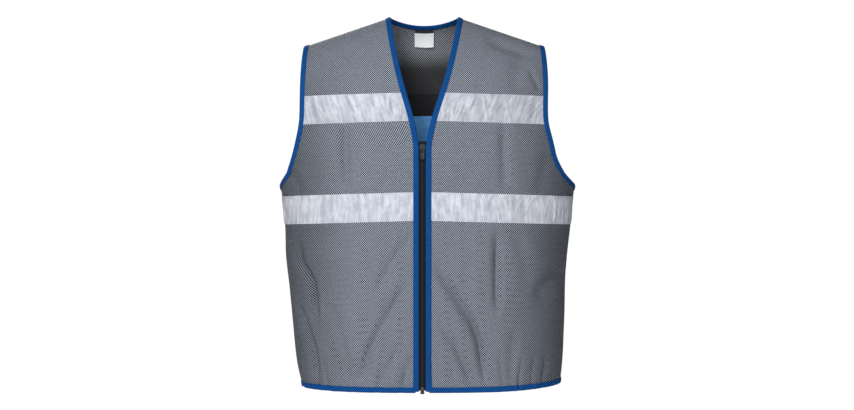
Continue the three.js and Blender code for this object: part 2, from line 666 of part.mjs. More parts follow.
function backLining() {
  const rows = [ABOVE_BINDING, ...BACK_ROWS.filter((v) => v > ABOVE_BINDING && v < BAND_LOW)];
  const top = BAND_LOW - SEAM_GAP / TAPE_WIDTH;
  const inner = -LINING_CLEARANCE - LINING_WALL;
  return sheet(BACK, LINING_COLUMNS, [...rows, top], inner, -LINING_CLEARANCE);
}

function liningBand() {
  const rows = BACK_ROWS.filter((v) => v >= BAND_LOW && v <= BAND_HIGH);
  const inner = -LINING_CLEARANCE - LINING_WALL;
  return sheet(BACK, LINING_COLUMNS, rows, inner, -LINING_CLEARANCE);
}

// A strip on the inside of the back, some distance below the back neckline.
function labelStrip(start, height) {
  const reach = (distance) => {
    let [near, far] = [TOP, CHEST_HIGH];
    const neckline = cloth(BACK, 0, TOP).point;
    for (let i = 0; i < HALVINGS; i++) {
      const middle = (near + far) / 2;
      if (cloth(BACK, 0, middle).point.distanceTo(neckline) < distance) near = middle;
      else far = middle;
    }
    return near;
  };
  const half = NECK_COLUMNS[0];
  const [low, high] = [reach(start + height), reach(start)];
  const rows = [low, ...SHOULDER_ROWS.filter((v) => v > low + BELOW / 2 && v < high - BELOW / 2), high];
  const inner = -LINING_CLEARANCE - LABEL_WALL;
  return sheet(BACK, () => steps(-half, half, 2), rows, inner, -LINING_CLEARANCE);
}

// The chest's face in the middle of the front, at a height.
const zipFace = (z) => bodyDepth(0, z, SIDES[0], FRONTS[0]) - SEAM_GAP / 2;
const zipTop = -SLIDER_DROP;
const zipLean = Math.atan((zipFace(zipTop) - zipFace(zipTop - SLIDER_HEIGHT)) / SLIDER_HEIGHT);
const zipFoot = -BODY_LENGTH + BOX_HEIGHT - BOX_OVERHANG + ZIP_CLEARANCE;
const ZIP_BACK = BINDING_CLEARANCE + BINDING_WALL + ZIP_TAPE_CLEARANCE; // inner face to zip tape
const CHAIN_BACK = ZIP_BACK + ZIP_TAPE_WALL + CHAIN_PROUD;
const CHAIN_FRONT = CHAIN_BACK - CHAIN_THICKNESS;

// A flat strip down the middle of the front, between two places across and two depths.
function zipStrip(left, right, front, back, top, foot) {
  const sections = steps(top, foot, 16).map((z) => [
    vec(left, zipFace(z) + front, z),
    vec(right, zipFace(z) + front, z),
    vec(right, zipFace(z) + back, z),
    vec(left, zipFace(z) + back, z),
  ]);
  return skin(sections);
}

function zipTape(side) {
  const near = CHAIN_WIDTH / 2 + ZIP_CLEARANCE;
  const places = [near, near + ZIP_TAPE_WIDTH].map((x) => ZIP_SHIFT + side.sign * x);
  const [left, right] = places.sort((a, b) => a - b);
  const foot = -BODY_LENGTH + BINDING_WIDTH;
  return zipStrip(left, right, ZIP_BACK, ZIP_BACK + ZIP_TAPE_WALL, zipTop, foot);
}

function zipChain() {
  const half = CHAIN_WIDTH / 2;
  const top = zipTop - SLIDER_POST - 2 * ZIP_CLEARANCE;
  return zipStrip(ZIP_SHIFT - half, ZIP_SHIFT + half, CHAIN_FRONT, CHAIN_BACK, top, zipFoot);
}

// Where the pull turns on the slider.
const pivotHeight = zipTop - SLIDER_HEIGHT / 2;
const pivotDepth = CHAIN_FRONT - SLIDER_CLEARANCE - SLIDER_PLATE - PULL_CLEARANCE - PULL_WALL / 2;
const pivot = vec(ZIP_SHIFT, zipFace(pivotHeight) + pivotDepth, pivotHeight);

function solid(geometry) {
  const bare = geometry.index ? geometry.toNonIndexed() : geometry.clone();
  bare.deleteAttribute("normal");
  bare.deleteAttribute("uv");
  const merged = mergeVertices(bare, 1e-4);
  return new wasm.Manifold(
    new wasm.Mesh({
      numProp: 3,
      vertProperties: merged.attributes.position.array,
      triVerts: new Uint32Array(merged.index.array),
    }),
  );
}

function geometryOf(made) {
  const mesh = made.getMesh();
  return new THREE.BufferGeometry()
    .setAttribute("position", new THREE.BufferAttribute(new Float32Array(mesh.vertProperties), 3))
    .setIndex(new THREE.BufferAttribute(new Uint32Array(mesh.triVerts), 1));
}

// An outline in the X-Z plane, extruded from one depth back to another, about the pivot.
function plate(shape, front, back) {
  const made = new THREE.ExtrudeGeometry(shape, {
    depth: back - front,
    bevelEnabled: false,
    curveSegments: 4,
  });
  return made.rotateX(Math.PI / 2).translate(0, back, 0);
}

function outline(points) {
  return new THREE.Shape(points.map(([x, z]) => new THREE.Vector2(x, z)));
}

// Two plates round the chain, joined by a wedge at the top, with the bridge for the pull.
function zipSlider() {
  const half = SLIDER_WIDTH / 2;
  const up = zipTop - pivot.z;
  // Half the plate's outline: shares of its half width and of its height down from the top.
  const edge = [
    [0.72, 0],
    [1, 0.23],
    [1, 0.46],
    [0.78, 0.92],
    [0.6, 1],
  ].map(([across, drop]) => [half * across, up - SLIDER_HEIGHT * drop]);
  const shield = [...edge.map(([x, z]) => [-x, z]), ...edge.reverse()].reverse();
  const front = PULL_WALL / 2 + PULL_CLEARANCE;
  const back = front + SLIDER_PLATE + CHAIN_THICKNESS + 2 * SLIDER_CLEARANCE;
  const wedgeTop = CHAIN_WIDTH / 2 - SLIDER_CLEARANCE;
  const wedge = outline([
    [-wedgeTop, up],
    [wedgeTop, up],
    [WEDGE_FOOT / 2, up - SLIDER_POST],
    [-WEDGE_FOOT / 2, up - SLIDER_POST],
  ]);
  // The bridge stands off the front plate, over the pull's top bar.
  const [foot, inside, outside] = [front + SLIDER_PLATE / 2, -front, -front - BRIDGE_WALL];
  const reach = BRIDGE_LENGTH / 2;
  const arch = outline([
    [foot, reach - BRIDGE_WALL],
    [inside, reach - BRIDGE_WALL],
    [inside, BRIDGE_WALL - reach],
    [foot, BRIDGE_WALL - reach],
    [foot, -reach],
    [outside + CORNER, -reach],
    [outside, CORNER - reach],
    [outside, reach - CORNER],
    [outside + CORNER, reach],
    [foot, reach],
  ]);
  const bridge = new THREE.ExtrudeGeometry(arch, { depth: BRIDGE_WIDTH, bevelEnabled: false })
    .applyMatrix4(
      new THREE.Matrix4().makeBasis(vec(0, 1, 0), vec(0, 0, 1), vec(1, 0, 0)),
    )
    .translate(-BRIDGE_WIDTH / 2, 0, 0);
  return geometryOf(
    solid(plate(outline(shield), front, front + SLIDER_PLATE))
      .add(solid(plate(outline(shield), back, back + SLIDER_PLATE)))
      .add(solid(plate(wedge, front, back + SLIDER_PLATE)))
      .add(solid(bridge)),
  )
    .rotateX(-zipLean)
    .translate(...pivot.toArray());
}

// A flat tab with a window at its top, through which the slider's bridge passes.
function zipPull() {
  const half = PULL_WIDTH / 2;
  const bar = PULL_WALL / 2;
  const neck = PULL_WINDOW_WIDTH / 2 + PULL_RAIL;
  const [flare, full] = [PULL_WINDOW_LENGTH / 2, PULL_WINDOW_LENGTH + CORNER];
  const shape = outline([
    [-neck, bar],
    [neck, bar],
    [neck, -flare],
    [half, -full],
    [half, CORNER - PULL_LENGTH],
    [half - CORNER, -PULL_LENGTH],
    [CORNER - half, -PULL_LENGTH],
    [-half, CORNER - PULL_LENGTH],
    [-half, -full],
    [-neck, -flare],
  ]);
  const gap = PULL_WINDOW_WIDTH / 2;
  shape.holes.push(
    new THREE.Path(
      [
        [-gap, -bar],
        [-gap, -bar - PULL_WINDOW_LENGTH],
        [gap, -bar - PULL_WINDOW_LENGTH],
        [gap, -bar],
      ].map(([x, z]) => new THREE.Vector2(x, z)),
    ),
  );
  return geometryOf(solid(plate(shape, -bar, bar)))
    .rotateX(-zipLean)
    .translate(...pivot.toArray());
}

// The retainer box that closes the foot of the zip.
function zipBox() {
  return new THREE.BoxGeometry(BOX_WIDTH, BOX_THICKNESS, BOX_HEIGHT).translate(
    ZIP_SHIFT,
    zipFace(zipFoot) + CHAIN_FRONT + CHAIN_THICKNESS / 2,
    -BODY_LENGTH - BOX_OVERHANG + BOX_HEIGHT / 2,
  );
}

const material = (color, roughness, metalness = 0) =>
  new THREE.MeshStandardMaterial({ color, roughness, metalness });
const MESH_CLOTH = material("#747a85", 0.9);
const BINDING_CLOTH = material("#0d4a92", 0.8);
const REFLECTIVE = material("#c4c8d2", 0.35, 0.3);
const LINING_CLOTH = material("#3a6096", 0.95);
const DARK_CLOTH = material("#16161b", 0.9);
const LABEL_CLOTH = material("#e6e8ec", 0.7);
const ZIP_CLOTH = material("#14181f", 0.85);
const ZIP_NYLON = material("#26272b", 0.5);
const BLACK_METAL = material("#101014", 0.35, 0.6);
const DARK_METAL = material("#4a4038", 0.45, 0.6);

const vest = new THREE.Group();
function add(name, geometry, finish) {
  const mesh = new THREE.Mesh(geometry, finish.clone());
  mesh.name = name;
  vest.add(mesh);
}

FRONTS.forEach((face) => {
  add(`front_panel_${face.side.name}`, frontPanel(face), MESH_CLOTH);
  add(`chest_tape_${face.side.name}`, frontTape(face, CHEST_LOW, CHEST_HIGH), REFLECTIVE);
  add(`waist_tape_${face.side.name}`, frontTape(face, WAIST_LOW, WAIST_HIGH), REFLECTIVE);
  add(`armhole_binding_${face.side.name}`, armholeBinding(face.side, face), BINDING_CLOTH);
  add(`zip_tape_${face.side.name}`, zipTape(face.side), ZIP_CLOTH);
});
add("back_panel", backPanel(), MESH_CLOTH);
add("chest_tape_back", backTape(CHEST_LOW, CHEST_HIGH), REFLECTIVE);
add("waist_tape_back", backTape(WAIST_LOW, WAIST_HIGH), REFLECTIVE);
add("neck_binding", neckBinding(), BINDING_CLOTH);
add("hem_binding", hemBinding(), BINDING_CLOTH);
add("back_lining", backLining(), LINING_CLOTH);
add("lining_band", liningBand(), DARK_CLOTH);
const labelStart = BINDING_WIDTH + SEAM_GAP;
add("label_tab", labelStrip(labelStart, LABEL_TAB_HEIGHT), DARK_CLOTH);
add("neck_label", labelStrip(labelStart + LABEL_TAB_HEIGHT + SEAM_GAP, LABEL_HEIGHT), LABEL_CLOTH);
add("zip_chain", zipChain(), ZIP_NYLON);
add("zip_slider", zipSlider(), BLACK_METAL);
add("zip_pull", zipPull(), BLACK_METAL);
add("zip_box", zipBox(), DARK_METAL);

export default vest;
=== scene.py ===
import math

import bpy
import numpy as np
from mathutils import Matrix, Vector


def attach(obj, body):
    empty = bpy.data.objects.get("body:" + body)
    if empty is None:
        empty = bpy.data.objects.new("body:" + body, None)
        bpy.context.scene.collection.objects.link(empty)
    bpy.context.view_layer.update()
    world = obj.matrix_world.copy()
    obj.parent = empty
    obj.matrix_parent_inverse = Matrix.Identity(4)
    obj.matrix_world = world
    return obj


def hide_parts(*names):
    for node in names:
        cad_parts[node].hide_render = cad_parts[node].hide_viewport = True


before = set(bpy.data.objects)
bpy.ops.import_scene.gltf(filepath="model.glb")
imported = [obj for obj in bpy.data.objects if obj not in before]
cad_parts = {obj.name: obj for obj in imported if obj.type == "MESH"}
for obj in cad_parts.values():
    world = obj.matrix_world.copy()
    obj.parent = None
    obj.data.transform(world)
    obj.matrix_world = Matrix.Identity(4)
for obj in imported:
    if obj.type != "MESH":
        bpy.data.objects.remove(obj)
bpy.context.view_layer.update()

# Sizes of the vest in millimetres, as in the part's own source. Scene units are metres.
MM = 0.001
BODY_LENGTH = 666
SHOULDER_WIDTH = 434
SHOULDER_DROP = 52
NECK_WIDTH = 120
NECK_DEPTH = 236
BACK_NECK_REACH = 60
ARMHOLE_HEIGHT = 249
CHEST_WIDTH = 530
HEM_WIDTH = 462
CHEST_SHIFT = 6
HEM_SHIFT = 13
ZIP_SHIFT = -3
HEM_LIFT_RIGHT = 3
HEM_LIFT_LEFT = 9
CHEST_SPREAD = 23
BACK_ARMHOLE_INSET = 5
ROUNDNESS = 2.5
RIDGE_REACH = 44
NAPE_REACH = 90
SEAM_GAP = 0.1
BINDING_WIDTH = 10
EDGE = 2.4
FLAP = BINDING_WIDTH - EDGE
TAPE_WIDTH = 50
CHEST_TAPE_DROP = 141
CHEST_TAPE_SAG = 5
WAIST_TAPE_BELOW_ARMPIT = 21
WAIST_TAPE_SAG = 7
PIT_LEVEL_RISE = 10
BAND_WIDTH = 40
BAND_DROP = 131
LABEL_WIDTH = 35
LABEL_TAB_HEIGHT = 8
LABEL_HEIGHT = 28
ZIP_GAP = 11.6
ZIP_TAPE_WIDTH = 13
SLIDER_DROP = 232
PIT_CROWDING = 1.6
NECKLINE_CURVE = 0.7
SHOULDER_LEAVE = 0.36
NAPE_SPREAD = 0.7

# Distances from the cloth's inner face, outwards.
CLOTH_INNER, CLOTH_OUTER = 0.1, 0.9
TAPE_INNER, TAPE_OUTER = 0.95, 1.35
LINING_INNER, LINING_OUTER = -2.2, -1.0
BAND_INNER, BAND_OUTER = -2.0, -1.0
LABEL_INNER, LABEL_OUTER = -1.6, -1.0

SIDE_LINE = {
    "down": [0, 0.07, 0.2, 0.36, 0.5, 0.7, 0.88, 1],
    "right": [1, 0.9, 0.79, 0.74, 0.6, 0.43, 0.26, 0],
    "left": [1, 0.88, 0.71, 0.47, 0.36, 0.29, 0.18, 0],
}
ARMHOLE_LINE = {
    "down": [0, 0.2, 0.4, 0.55, 0.69, 0.83, 0.92, 0.97, 1],
    "right": [0, 0.07, 0.06, 0.09, 0.24, 0.46, 0.68, 0.88, 1],
    "left": [0, 0.06, 0.03, 0.04, 0.19, 0.38, 0.61, 0.84, 1],
}
DEPTH_LINE = {
    "down": [0.2, 0.28, 0.36, 0.48, 0.62, 0.8, 1],
    "front": [0.87, 0.955, 0.995, 1, 0.985, 0.975, 0.94],
    "back": [0.93, 0.99, 1, 0.95, 0.89, 0.9, 0.92],
}
# Folds: depth inwards and half width in millimetres, then the places that each runs through, across
# as a share of half the chest's width and down as a share of the length.
FOLDS = {
    "front": [
        (10.4, 7.5, (-0.847, 0.577), (-0.834, 0.657), (-0.746, 0.713), (-0.726, 0.795), (-0.733, 0.847)),
        (7.8, 7, (-0.86, 0.742), (-0.829, 0.795), (-0.75, 0.882), (-0.685, 1.004)),
        (7.8, 9, (-0.049, 0.681), (-0.169, 0.751), (-0.356, 0.882), (-0.465, 1.004)),
        (5.2, 8, (-0.082, 0.581), (-0.224, 0.664), (-0.334, 0.751)),
        (4.5, 6, (-0.147, 0.864), (-0.323, 1.004)),
        (3.9, 6, (-0.053, 0.882), (-0.169, 1.004)),
        (4.5, 9, (-0.652, 0.734), (-0.597, 0.795), (-0.465, 1.004)),
        (8, 9, (-0.522, 0.262), (-0.522, 0.376), (-0.509, 0.489)),
        (3.9, 14, (-0.733, 0.28), (-0.724, 0.376), (-0.706, 0.498)),
        (3.9, 11, (-0.636, 0.088), (-0.645, 0.149), (-0.641, 0.228)),
        (3.9, 9, (-0.913, 0.406), (-0.805, 0.485)),
        (11.7, 8)
        + ((0.052, 0.629), (0.127, 0.699), (0.214, 0.751), (0.313, 0.816), (0.368, 0.873), (0.416, 1.004)),
        (6.5, 6.5, (0.067, 0.795), (0.197, 0.873), (0.35, 1.004)),
        (7.8, 7, (0.482, 0.55), (0.477, 0.672), (0.486, 0.816)),
        (3.9, 9, (0.613, 0.812), (0.587, 0.882), (0.565, 1.004)),
        (6.5, 15, (0.708, 0.76), (0.828, 0.716), (0.96, 0.668)),
        (3.9, 13, (0.594, 0.559), (0.653, 0.638), (0.705, 0.751)),
        (6, 10, (0.53, 0.271), (0.53, 0.376), (0.539, 0.489)),
        (3.2, 12, (0.861, 0.35), (0.806, 0.402), (0.758, 0.489)),
        (6.5, 10, (0.39, 0.064), (0.565, 0.084), (0.762, 0.112)),
        (4.5, 16, (0.662, 0.088), (0.631, 0.14), (0.605, 0.228)),
        (3.2, 5, (0.692, 0.136), (0.776, 0.212)),
    ],
    "back": [
        (9.8, 16, (-0.36, 0.45), (-0.42, 0.7), (-0.5, 1.05)),
        (8.4, 17.6, (0.1, 0.52), (0.08, 0.75), (0.05, 1.05)),
        (9.8, 16, (0.5, 0.42), (0.58, 0.66), (0.64, 1.0)),
        (5.6, 14.4, (-0.2, 0.08), (-0.22, 0.26), (-0.26, 0.46)),
        (5.6, 13.6, (0.3, 0.1), (0.29, 0.26), (0.25, 0.5)),
        (7, 9.6, (-0.8, 0.2), (-0.68, 0.3), (-0.6, 0.42)),
        (7, 9.6, (0.8, 0.2), (0.7, 0.3), (0.6, 0.4)),
        (7, 8, (-0.15, 0.66), (-0.2, 0.8), (-0.3, 1.05)),
        (8.4, 7.2, (0.3, 0.64), (0.34, 0.8), (0.33, 1.05)),
    ],
}
# Small tucks over the front's hem: where each starts and ends across, as a share of half the width.
HEM_TUCKS = [
    (-0.685, -0.623), (-0.597, -0.542), (-0.75, -0.702), (-0.257, -0.316),
    (0.039, 0.07), (0.171, 0.201), (0.499, 0.526), (0.653, 0.62),
    (0.741, 0.701), (0.819, 0.78), (-0.505, -0.487), (-0.114, -0.145),
]
# Sharper creases, in the folds' columns.
CREASES = {
    "front": [
        (3.4, 3, (-0.829, 0.659), (-0.746, 0.714), (-0.728, 0.795)),
        (2.6, 3, (-0.847, 0.76), (-0.75, 0.878), (-0.702, 0.943)),
        (3.2, 3.4, (0.236, 0.764), (0.35, 0.849), (0.412, 0.995)),
        (1.8, 3.4, (0.171, 0.856), (0.335, 0.995)),
        (2.2, 4, (0.48, 0.568), (0.48, 0.803)),
        (1.8, 3.6, (-0.301, 0.845), (-0.461, 0.995)),
        *[(2.5, 3.4, (top, 0.895), (foot, 1.004)) for top, foot in HEM_TUCKS],
    ],
    "back": [
        (2, 4, (-0.19, 0.76), (-0.3, 1.04)),
        (2.4, 4, (0.34, 0.78), (0.33, 1.04)),
        (1.8, 4, (-0.72, 0.9), (-0.66, 1.04)),
        (1.8, 4, (0.78, 0.9), (0.7, 1.04)),
        (1.6, 4, (0.08, 0.92), (0.05, 1.04)),
    ],
}
TAPER = 0.3  # share of a fold's length over which it starts, and over which it dies out

PIT_DROP = SHOULDER_DROP + ARMHOLE_HEIGHT
waist_tape_top = -(PIT_DROP + WAIST_TAPE_BELOW_ARMPIT)
MIDDLE = np.array(
    [
        EDGE - BODY_LENGTH,
        waist_tape_top + WAIST_TAPE_SAG - TAPE_WIDTH,
        waist_tape_top + WAIST_TAPE_SAG,
        PIT_LEVEL_RISE - PIT_DROP - EDGE,
        -CHEST_TAPE_DROP - TAPE_WIDTH,
        -CHEST_TAPE_DROP,
    ]
)
OUTER = np.array(
    [
        EDGE - BODY_LENGTH,
        waist_tape_top - TAPE_WIDTH,
        waist_tape_top,
        -PIT_DROP - EDGE,
        -CHEST_TAPE_DROP - CHEST_TAPE_SAG - TAPE_WIDTH,
        -CHEST_TAPE_DROP - CHEST_TAPE_SAG,
    ]
)
HEM, WAIST_LOW, WAIST_HIGH, PIT, CHEST_LOW, CHEST_HIGH, TOP = range(7)
BELOW = 0.05
NECK_SHARE = NECK_WIDTH / SHOULDER_WIDTH


class Face:
    """Front right, front left or back. side is -1 or 1 on a front and None on the back."""

    def __init__(self, name, sign, depth, side=None):
        self.name, self.sign, self.depth, self.side = name, sign, depth, side
        self.is_back = name == "back"


RIGHT = Face("front", -1, 132, -1)
LEFT = Face("front", -1, 132, 1)
BACK = Face("back", 1, 122)


def lerp(a, b, t):
    return a + (b - a) * t


def smooth(t):
    t = np.clip(t, 0, 1)
    return t * t * (3 - 2 * t)


def unit(v):
    return v / np.maximum(np.linalg.norm(v, axis=-1, keepdims=True), 1e-12)


def dot(a, b):
    return np.sum(a * b, axis=-1)


def stack(x, y, z):
    return np.stack(np.broadcast_arrays(x, y, z), axis=-1)


def along(table, at, column):
    """A table's column at places along it, on a smooth curve through its rows."""
    xs, ys = np.array(table["down"], float), np.array(table[column], float)
    k = np.clip(np.searchsorted(xs, at, side="left") - 1, 0, len(xs) - 2)
    slopes = np.empty(len(xs))
    slopes[1:-1] = (ys[2:] - ys[:-2]) / (xs[2:] - xs[:-2])
    slopes[0] = (ys[1] - ys[0]) / (xs[1] - xs[0])
    slopes[-1] = (ys[-1] - ys[-2]) / (xs[-1] - xs[-2])
    span = xs[k + 1] - xs[k]
    t = np.clip((at - xs[k]) / span, 0, 1)
    bend = t * (1 - t) * span
    return lerp(ys[k], ys[k + 1], smooth(t)) + bend * ((1 - t) * slopes[k] - t * slopes[k + 1])


def by_side(table, at, s):
    return np.where(s < 0, along(table, at, "right"), along(table, at, "left"))


def half_width(z, s):
    chest = CHEST_WIDTH / 2 + s * CHEST_SHIFT
    hem = HEM_WIDTH / 2 + s * HEM_SHIFT
    low = lerp(hem, chest, by_side(SIDE_LINE, (-z - PIT_DROP) / (BODY_LENGTH - PIT_DROP), s))
    high = chest + CHEST_SPREAD * smooth((z + PIT_DROP) / (PIT_DROP - CHEST_TAPE_DROP))
    return np.where(-z >= PIT_DROP, low, high)


def armhole_edge(z, s, face):
    chest = CHEST_WIDTH / 2 + s * CHEST_SHIFT
    out = by_side(ARMHOLE_LINE, np.clip((-z - SHOULDER_DROP) / (ARMHOLE_HEIGHT + EDGE), 0, 1), s)
    inset = BACK_ARMHOLE_INSET * (1 - out) if face.is_back else 0
    return lerp(SHOULDER_WIDTH / 2 - EDGE, chest, out) - inset


def front_edge(z, s):
    up = np.clip(1 + z / NECK_DEPTH, 0, 1)
    opening = lerp(np.sin(up * math.pi / 2), smooth(up), NECKLINE_CURVE)
    return ZIP_SHIFT * (1 - opening) + s * (lerp(ZIP_GAP, NECK_WIDTH, opening) / 2 + EDGE)


def body_depth(x, z, s, face):
    share = np.minimum(np.abs(x) / half_width(z, s), 1)
    depth = face.depth * along(DEPTH_LINE, -z / BODY_LENGTH, face.name)
    return face.sign * depth * (1 - share**ROUNDNESS) ** (1 / ROUNDNESS)


def level_of(v):
    k = np.clip(np.floor(v), HEM, CHEST_LOW).astype(int)
    return k, v - k


def outer_height(v):
    k, t = level_of(v)
    t = np.where(k == PIT, np.maximum(t, 0) ** PIT_CROWDING, t)
    return lerp(OUTER[k], OUTER[k + 1], t)


def share_across(face, s, u, v):
    z = outer_height(np.minimum(v, CHEST_HIGH))
    cut = np.where(v > PIT, armhole_edge(z, s, face) / half_width(z, s), 1)
    quarter = np.arcsin(np.minimum(cut, 1))
    return np.sin(quarter * np.clip(np.abs(u), 0, 1)) / np.sin(quarter)


def level_point(face, s, share, v):
    k, t = level_of(v)
    outer = outer_height(v)
    middle = outer if face.is_back else lerp(MIDDLE[k], MIDDLE[k + 1], t)
    lift = np.where(s < 0, HEM_LIFT_RIGHT, HEM_LIFT_LEFT) * smooth(1 - v) * share**4
    z = lerp(middle, outer, share)
    inner = 0 if face.is_back else front_edge(z, s)
    edge = np.where(z <= -PIT_DROP - EDGE, half_width(z, s), armhole_edge(z, s, face))
    x = lerp(inner, s * edge, share)
    return stack(x, body_depth(x, z, s, face), z + lift)


def ridge_point(face, s, share):
    peak = NECK_WIDTH / 2 + EDGE
    tip = SHOULDER_WIDTH / 2 - EDGE
    start = NECK_SHARE if face.is_back else 0
    out = (share - start) / (1 - start)
    x = peak * share / NECK_SHARE
    slope = SHOULDER_DROP / (tip - peak)
    over = stack(s * lerp(peak, tip, out), 0 * share, -SHOULDER_DROP * out)
    neck = stack(s * x, 0 * share, slope * (peak**2 - x**2) / (2 * peak))
    return np.where((out >= 0)[..., None], over, neck)


def bezier(p, t):
    t = t[..., None]
    m = 1 - t
    return m**3 * p[0] + 3 * m * m * t * p[1] + 3 * m * t * t * p[2] + t**3 * p[3]


def shoulder_point(face, s, share, v):
    level = np.full_like(share, CHEST_HIGH)
    start = level_point(face, s, share, level)
    rise = level_point(face, s, share, level - BELOW)
    end = ridge_point(face, s, share)
    reach = np.linalg.norm(end - start, axis=-1, keepdims=True)
    leave = start + unit(start - rise) * SHOULDER_LEAVE * reach
    nape = smooth(1 - share / NAPE_SPREAD) if face.is_back else 0 * share
    arrive = end + stack(0 * share, face.sign * lerp(RIDGE_REACH, NAPE_REACH, nape), 0 * share)
    curve = (start, leave, arrive, end)
    t = v - CHEST_HIGH
    if face.is_back:
        inside = np.minimum(share / NECK_SHARE, 1)
        depth = (BACK_NECK_REACH + EDGE) * np.sqrt(1 - inside**2)
        low, high = np.zeros_like(share), np.ones_like(share)
        for _ in range(24):
            middle = (low + high) / 2
            below = bezier(curve, middle)[..., 1] > depth
            low, high = np.where(below, middle, low), np.where(below, high, middle)
        t = t * np.where(share < NECK_SHARE, high, 1)
    return bezier(curve, t)


def body_point(face, u, v):
    s = np.where(u < 0, -1, 1) if face.is_back else np.full(np.shape(u), face.side)
    at = np.clip(v, HEM, TOP)
    share = share_across(face, s, u, at)
    low = level_point(face, s, share, np.minimum(at, CHEST_HIGH))
    p = np.where((at > CHEST_HIGH)[..., None], shoulder_point(face, s, share, at), low)
    return p + np.array([0, face.sign * SEAM_GAP / 2, 0])


def section_normal(face, p):
    s = np.where(p[..., 0] < 0, -1, 1)
    x, y, z = p[..., 0], p[..., 1], p[..., 2]

    def width(z):
        return half_width(z, s)

    def depth(z):
        return np.abs(body_depth(0 * z, z, s, face))

    def change(size):
        return (size(z + 1) - size(z - 1)) / (2 * size(z))

    a = (np.abs(x) / width(z)) ** ROUNDNESS
    b = (np.abs(y) / depth(z)) ** ROUNDNESS
    along_x = np.where(np.abs(x) > 1e-9, a / np.where(np.abs(x) > 1e-9, x, 1), 0)
    return unit(stack(along_x, b / y, -a * change(width) - b * change(depth)))


def body_normal(face, p, u, v):
    step = BELOW / 12
    low = -1 if face.is_back else 0
    left, right = np.maximum(u - step, low), np.minimum(u + step, 1)
    across = body_point(face, right, v) - body_point(face, left, v)
    up = body_point(face, u, v + step) - body_point(face, u, v - step)
    sign = 1 if face.side == 1 else -1
    over = unit(np.cross(across, up)) * sign
    return np.where((v > CHEST_HIGH)[..., None], over, section_normal(face, p))


def ripples(seed, count, shortest, longest, lean):
    """A sum of long waves in millimetres, mostly across, that leans at random by up to lean."""
    rng = np.random.default_rng(seed)
    length = rng.uniform(shortest, longest, count)
    angle = rng.uniform(-lean, lean, count)
    phase = rng.uniform(0, 2 * math.pi, count)
    size = rng.uniform(0.5, 1, count)
    size /= np.sum(size)

    def at(a, b):
        total = 0
        for i in range(count):
            k = 2 * math.pi / length[i]
            total = total + size[i] * np.sin(k * (a * math.cos(angle[i]) + b * math.sin(angle[i])) + phase[i])
        return total

    return at


gathers = ripples(3, 5, 9, 19, 0.25)
sway = ripples(5, 5, 60, 150, 1.4)
rumple = ripples(8, 6, 22, 55, 1.2)
FADE = {"front": 1.0, "back": 1.2}
SWAY, RUMPLE = 0.8, 0.35
GATHER_MIDDLE, GATHER_SIDE = 0.9, 2.6  # how deep the hem's gathers are
GATHER_RISE = 22  # how far above the hem they fade
SEAM_FADE = 34  # how far from a side seam the folds die out


def push(p, face):
    """How far the folds, creases and gathers push the cloth inwards."""
    x = p[..., 0] / (CHEST_WIDTH / 2)
    down = -p[..., 2] / BODY_LENGTH
    total = 0
    for depth, width, *places in FOLDS[face.name] + CREASES[face.name]:
        ends = np.array(places)
        runs = np.diff(ends, axis=0) * [CHEST_WIDTH / 2, BODY_LENGTH]
        lengths = np.linalg.norm(runs, axis=1)
        before = np.concatenate([[0], np.cumsum(lengths)])
        near = np.full(np.shape(x), np.inf)
        share = np.zeros(np.shape(x))
        for (x1, d1), run, length, start in zip(ends, runs, lengths, before):
            off_x, off_z = (x - x1) * CHEST_WIDTH / 2, (down - d1) * BODY_LENGTH
            t = np.clip((off_x * run[0] + off_z * run[1]) / length**2, 0, 1)
            away = (off_x - t * run[0]) ** 2 + (off_z - t * run[1]) ** 2
            share = np.where(away < near, (start + t * length) / before[-1], share)
            near = np.minimum(near, away)
        fall = smooth(share / TAPER) * smooth((1 - share) / TAPER)
        total = total + depth * fall * np.exp(-near / width**2)
    around = p[..., 0] + 0.8 * p[..., 1]
    above_hem = BODY_LENGTH + p[..., 2]
    side = smooth((np.abs(x) - 0.35) / 0.4)
    gathered = lerp(GATHER_MIDDLE, GATHER_SIDE, side) * np.exp(-above_hem / GATHER_RISE)
    total = total + gathers(around, p[..., 2] * 0.6) * gathered
    near_zip = smooth((np.abs(p[..., 0] - ZIP_SHIFT) - 12) / 40) if face.name == "front" else 1
    shoulder = smooth((-20 - p[..., 2]) / 60)
    loose = SWAY * sway(around, p[..., 2]) + RUMPLE * rumple(around, p[..., 2])
    total = total + near_zip * shoulder * FADE[face.name] * loose
    return total * smooth(np.abs(p[..., 1]) / SEAM_FADE)


def smooth_cloth(face, u, v):
    """Points and outward normals of the cloth's inner face as it would hang without a fold."""
    u, v = np.broadcast_arrays(np.asarray(u, float), np.asarray(v, float))
    p = body_point(face, u, v)
    return p, body_normal(face, p, u, v)


def cloth(face, u, v):
    """Points on the cloth's inner face and the normals outwards."""
    p, normal = smooth_cloth(face, u, v)
    level = unit(stack(-normal[..., 1], normal[..., 0], 0 * p[..., 0]))
    slope = 0
    for way in (level, np.cross(level, normal)):
        rise = (push(p + way, face) - push(p - way, face)) / 2
        slope = slope + way * rise[..., None]
    return p - normal * push(p, face)[..., None], unit(normal + slope)


# Meshes.

scene = bpy.context.scene


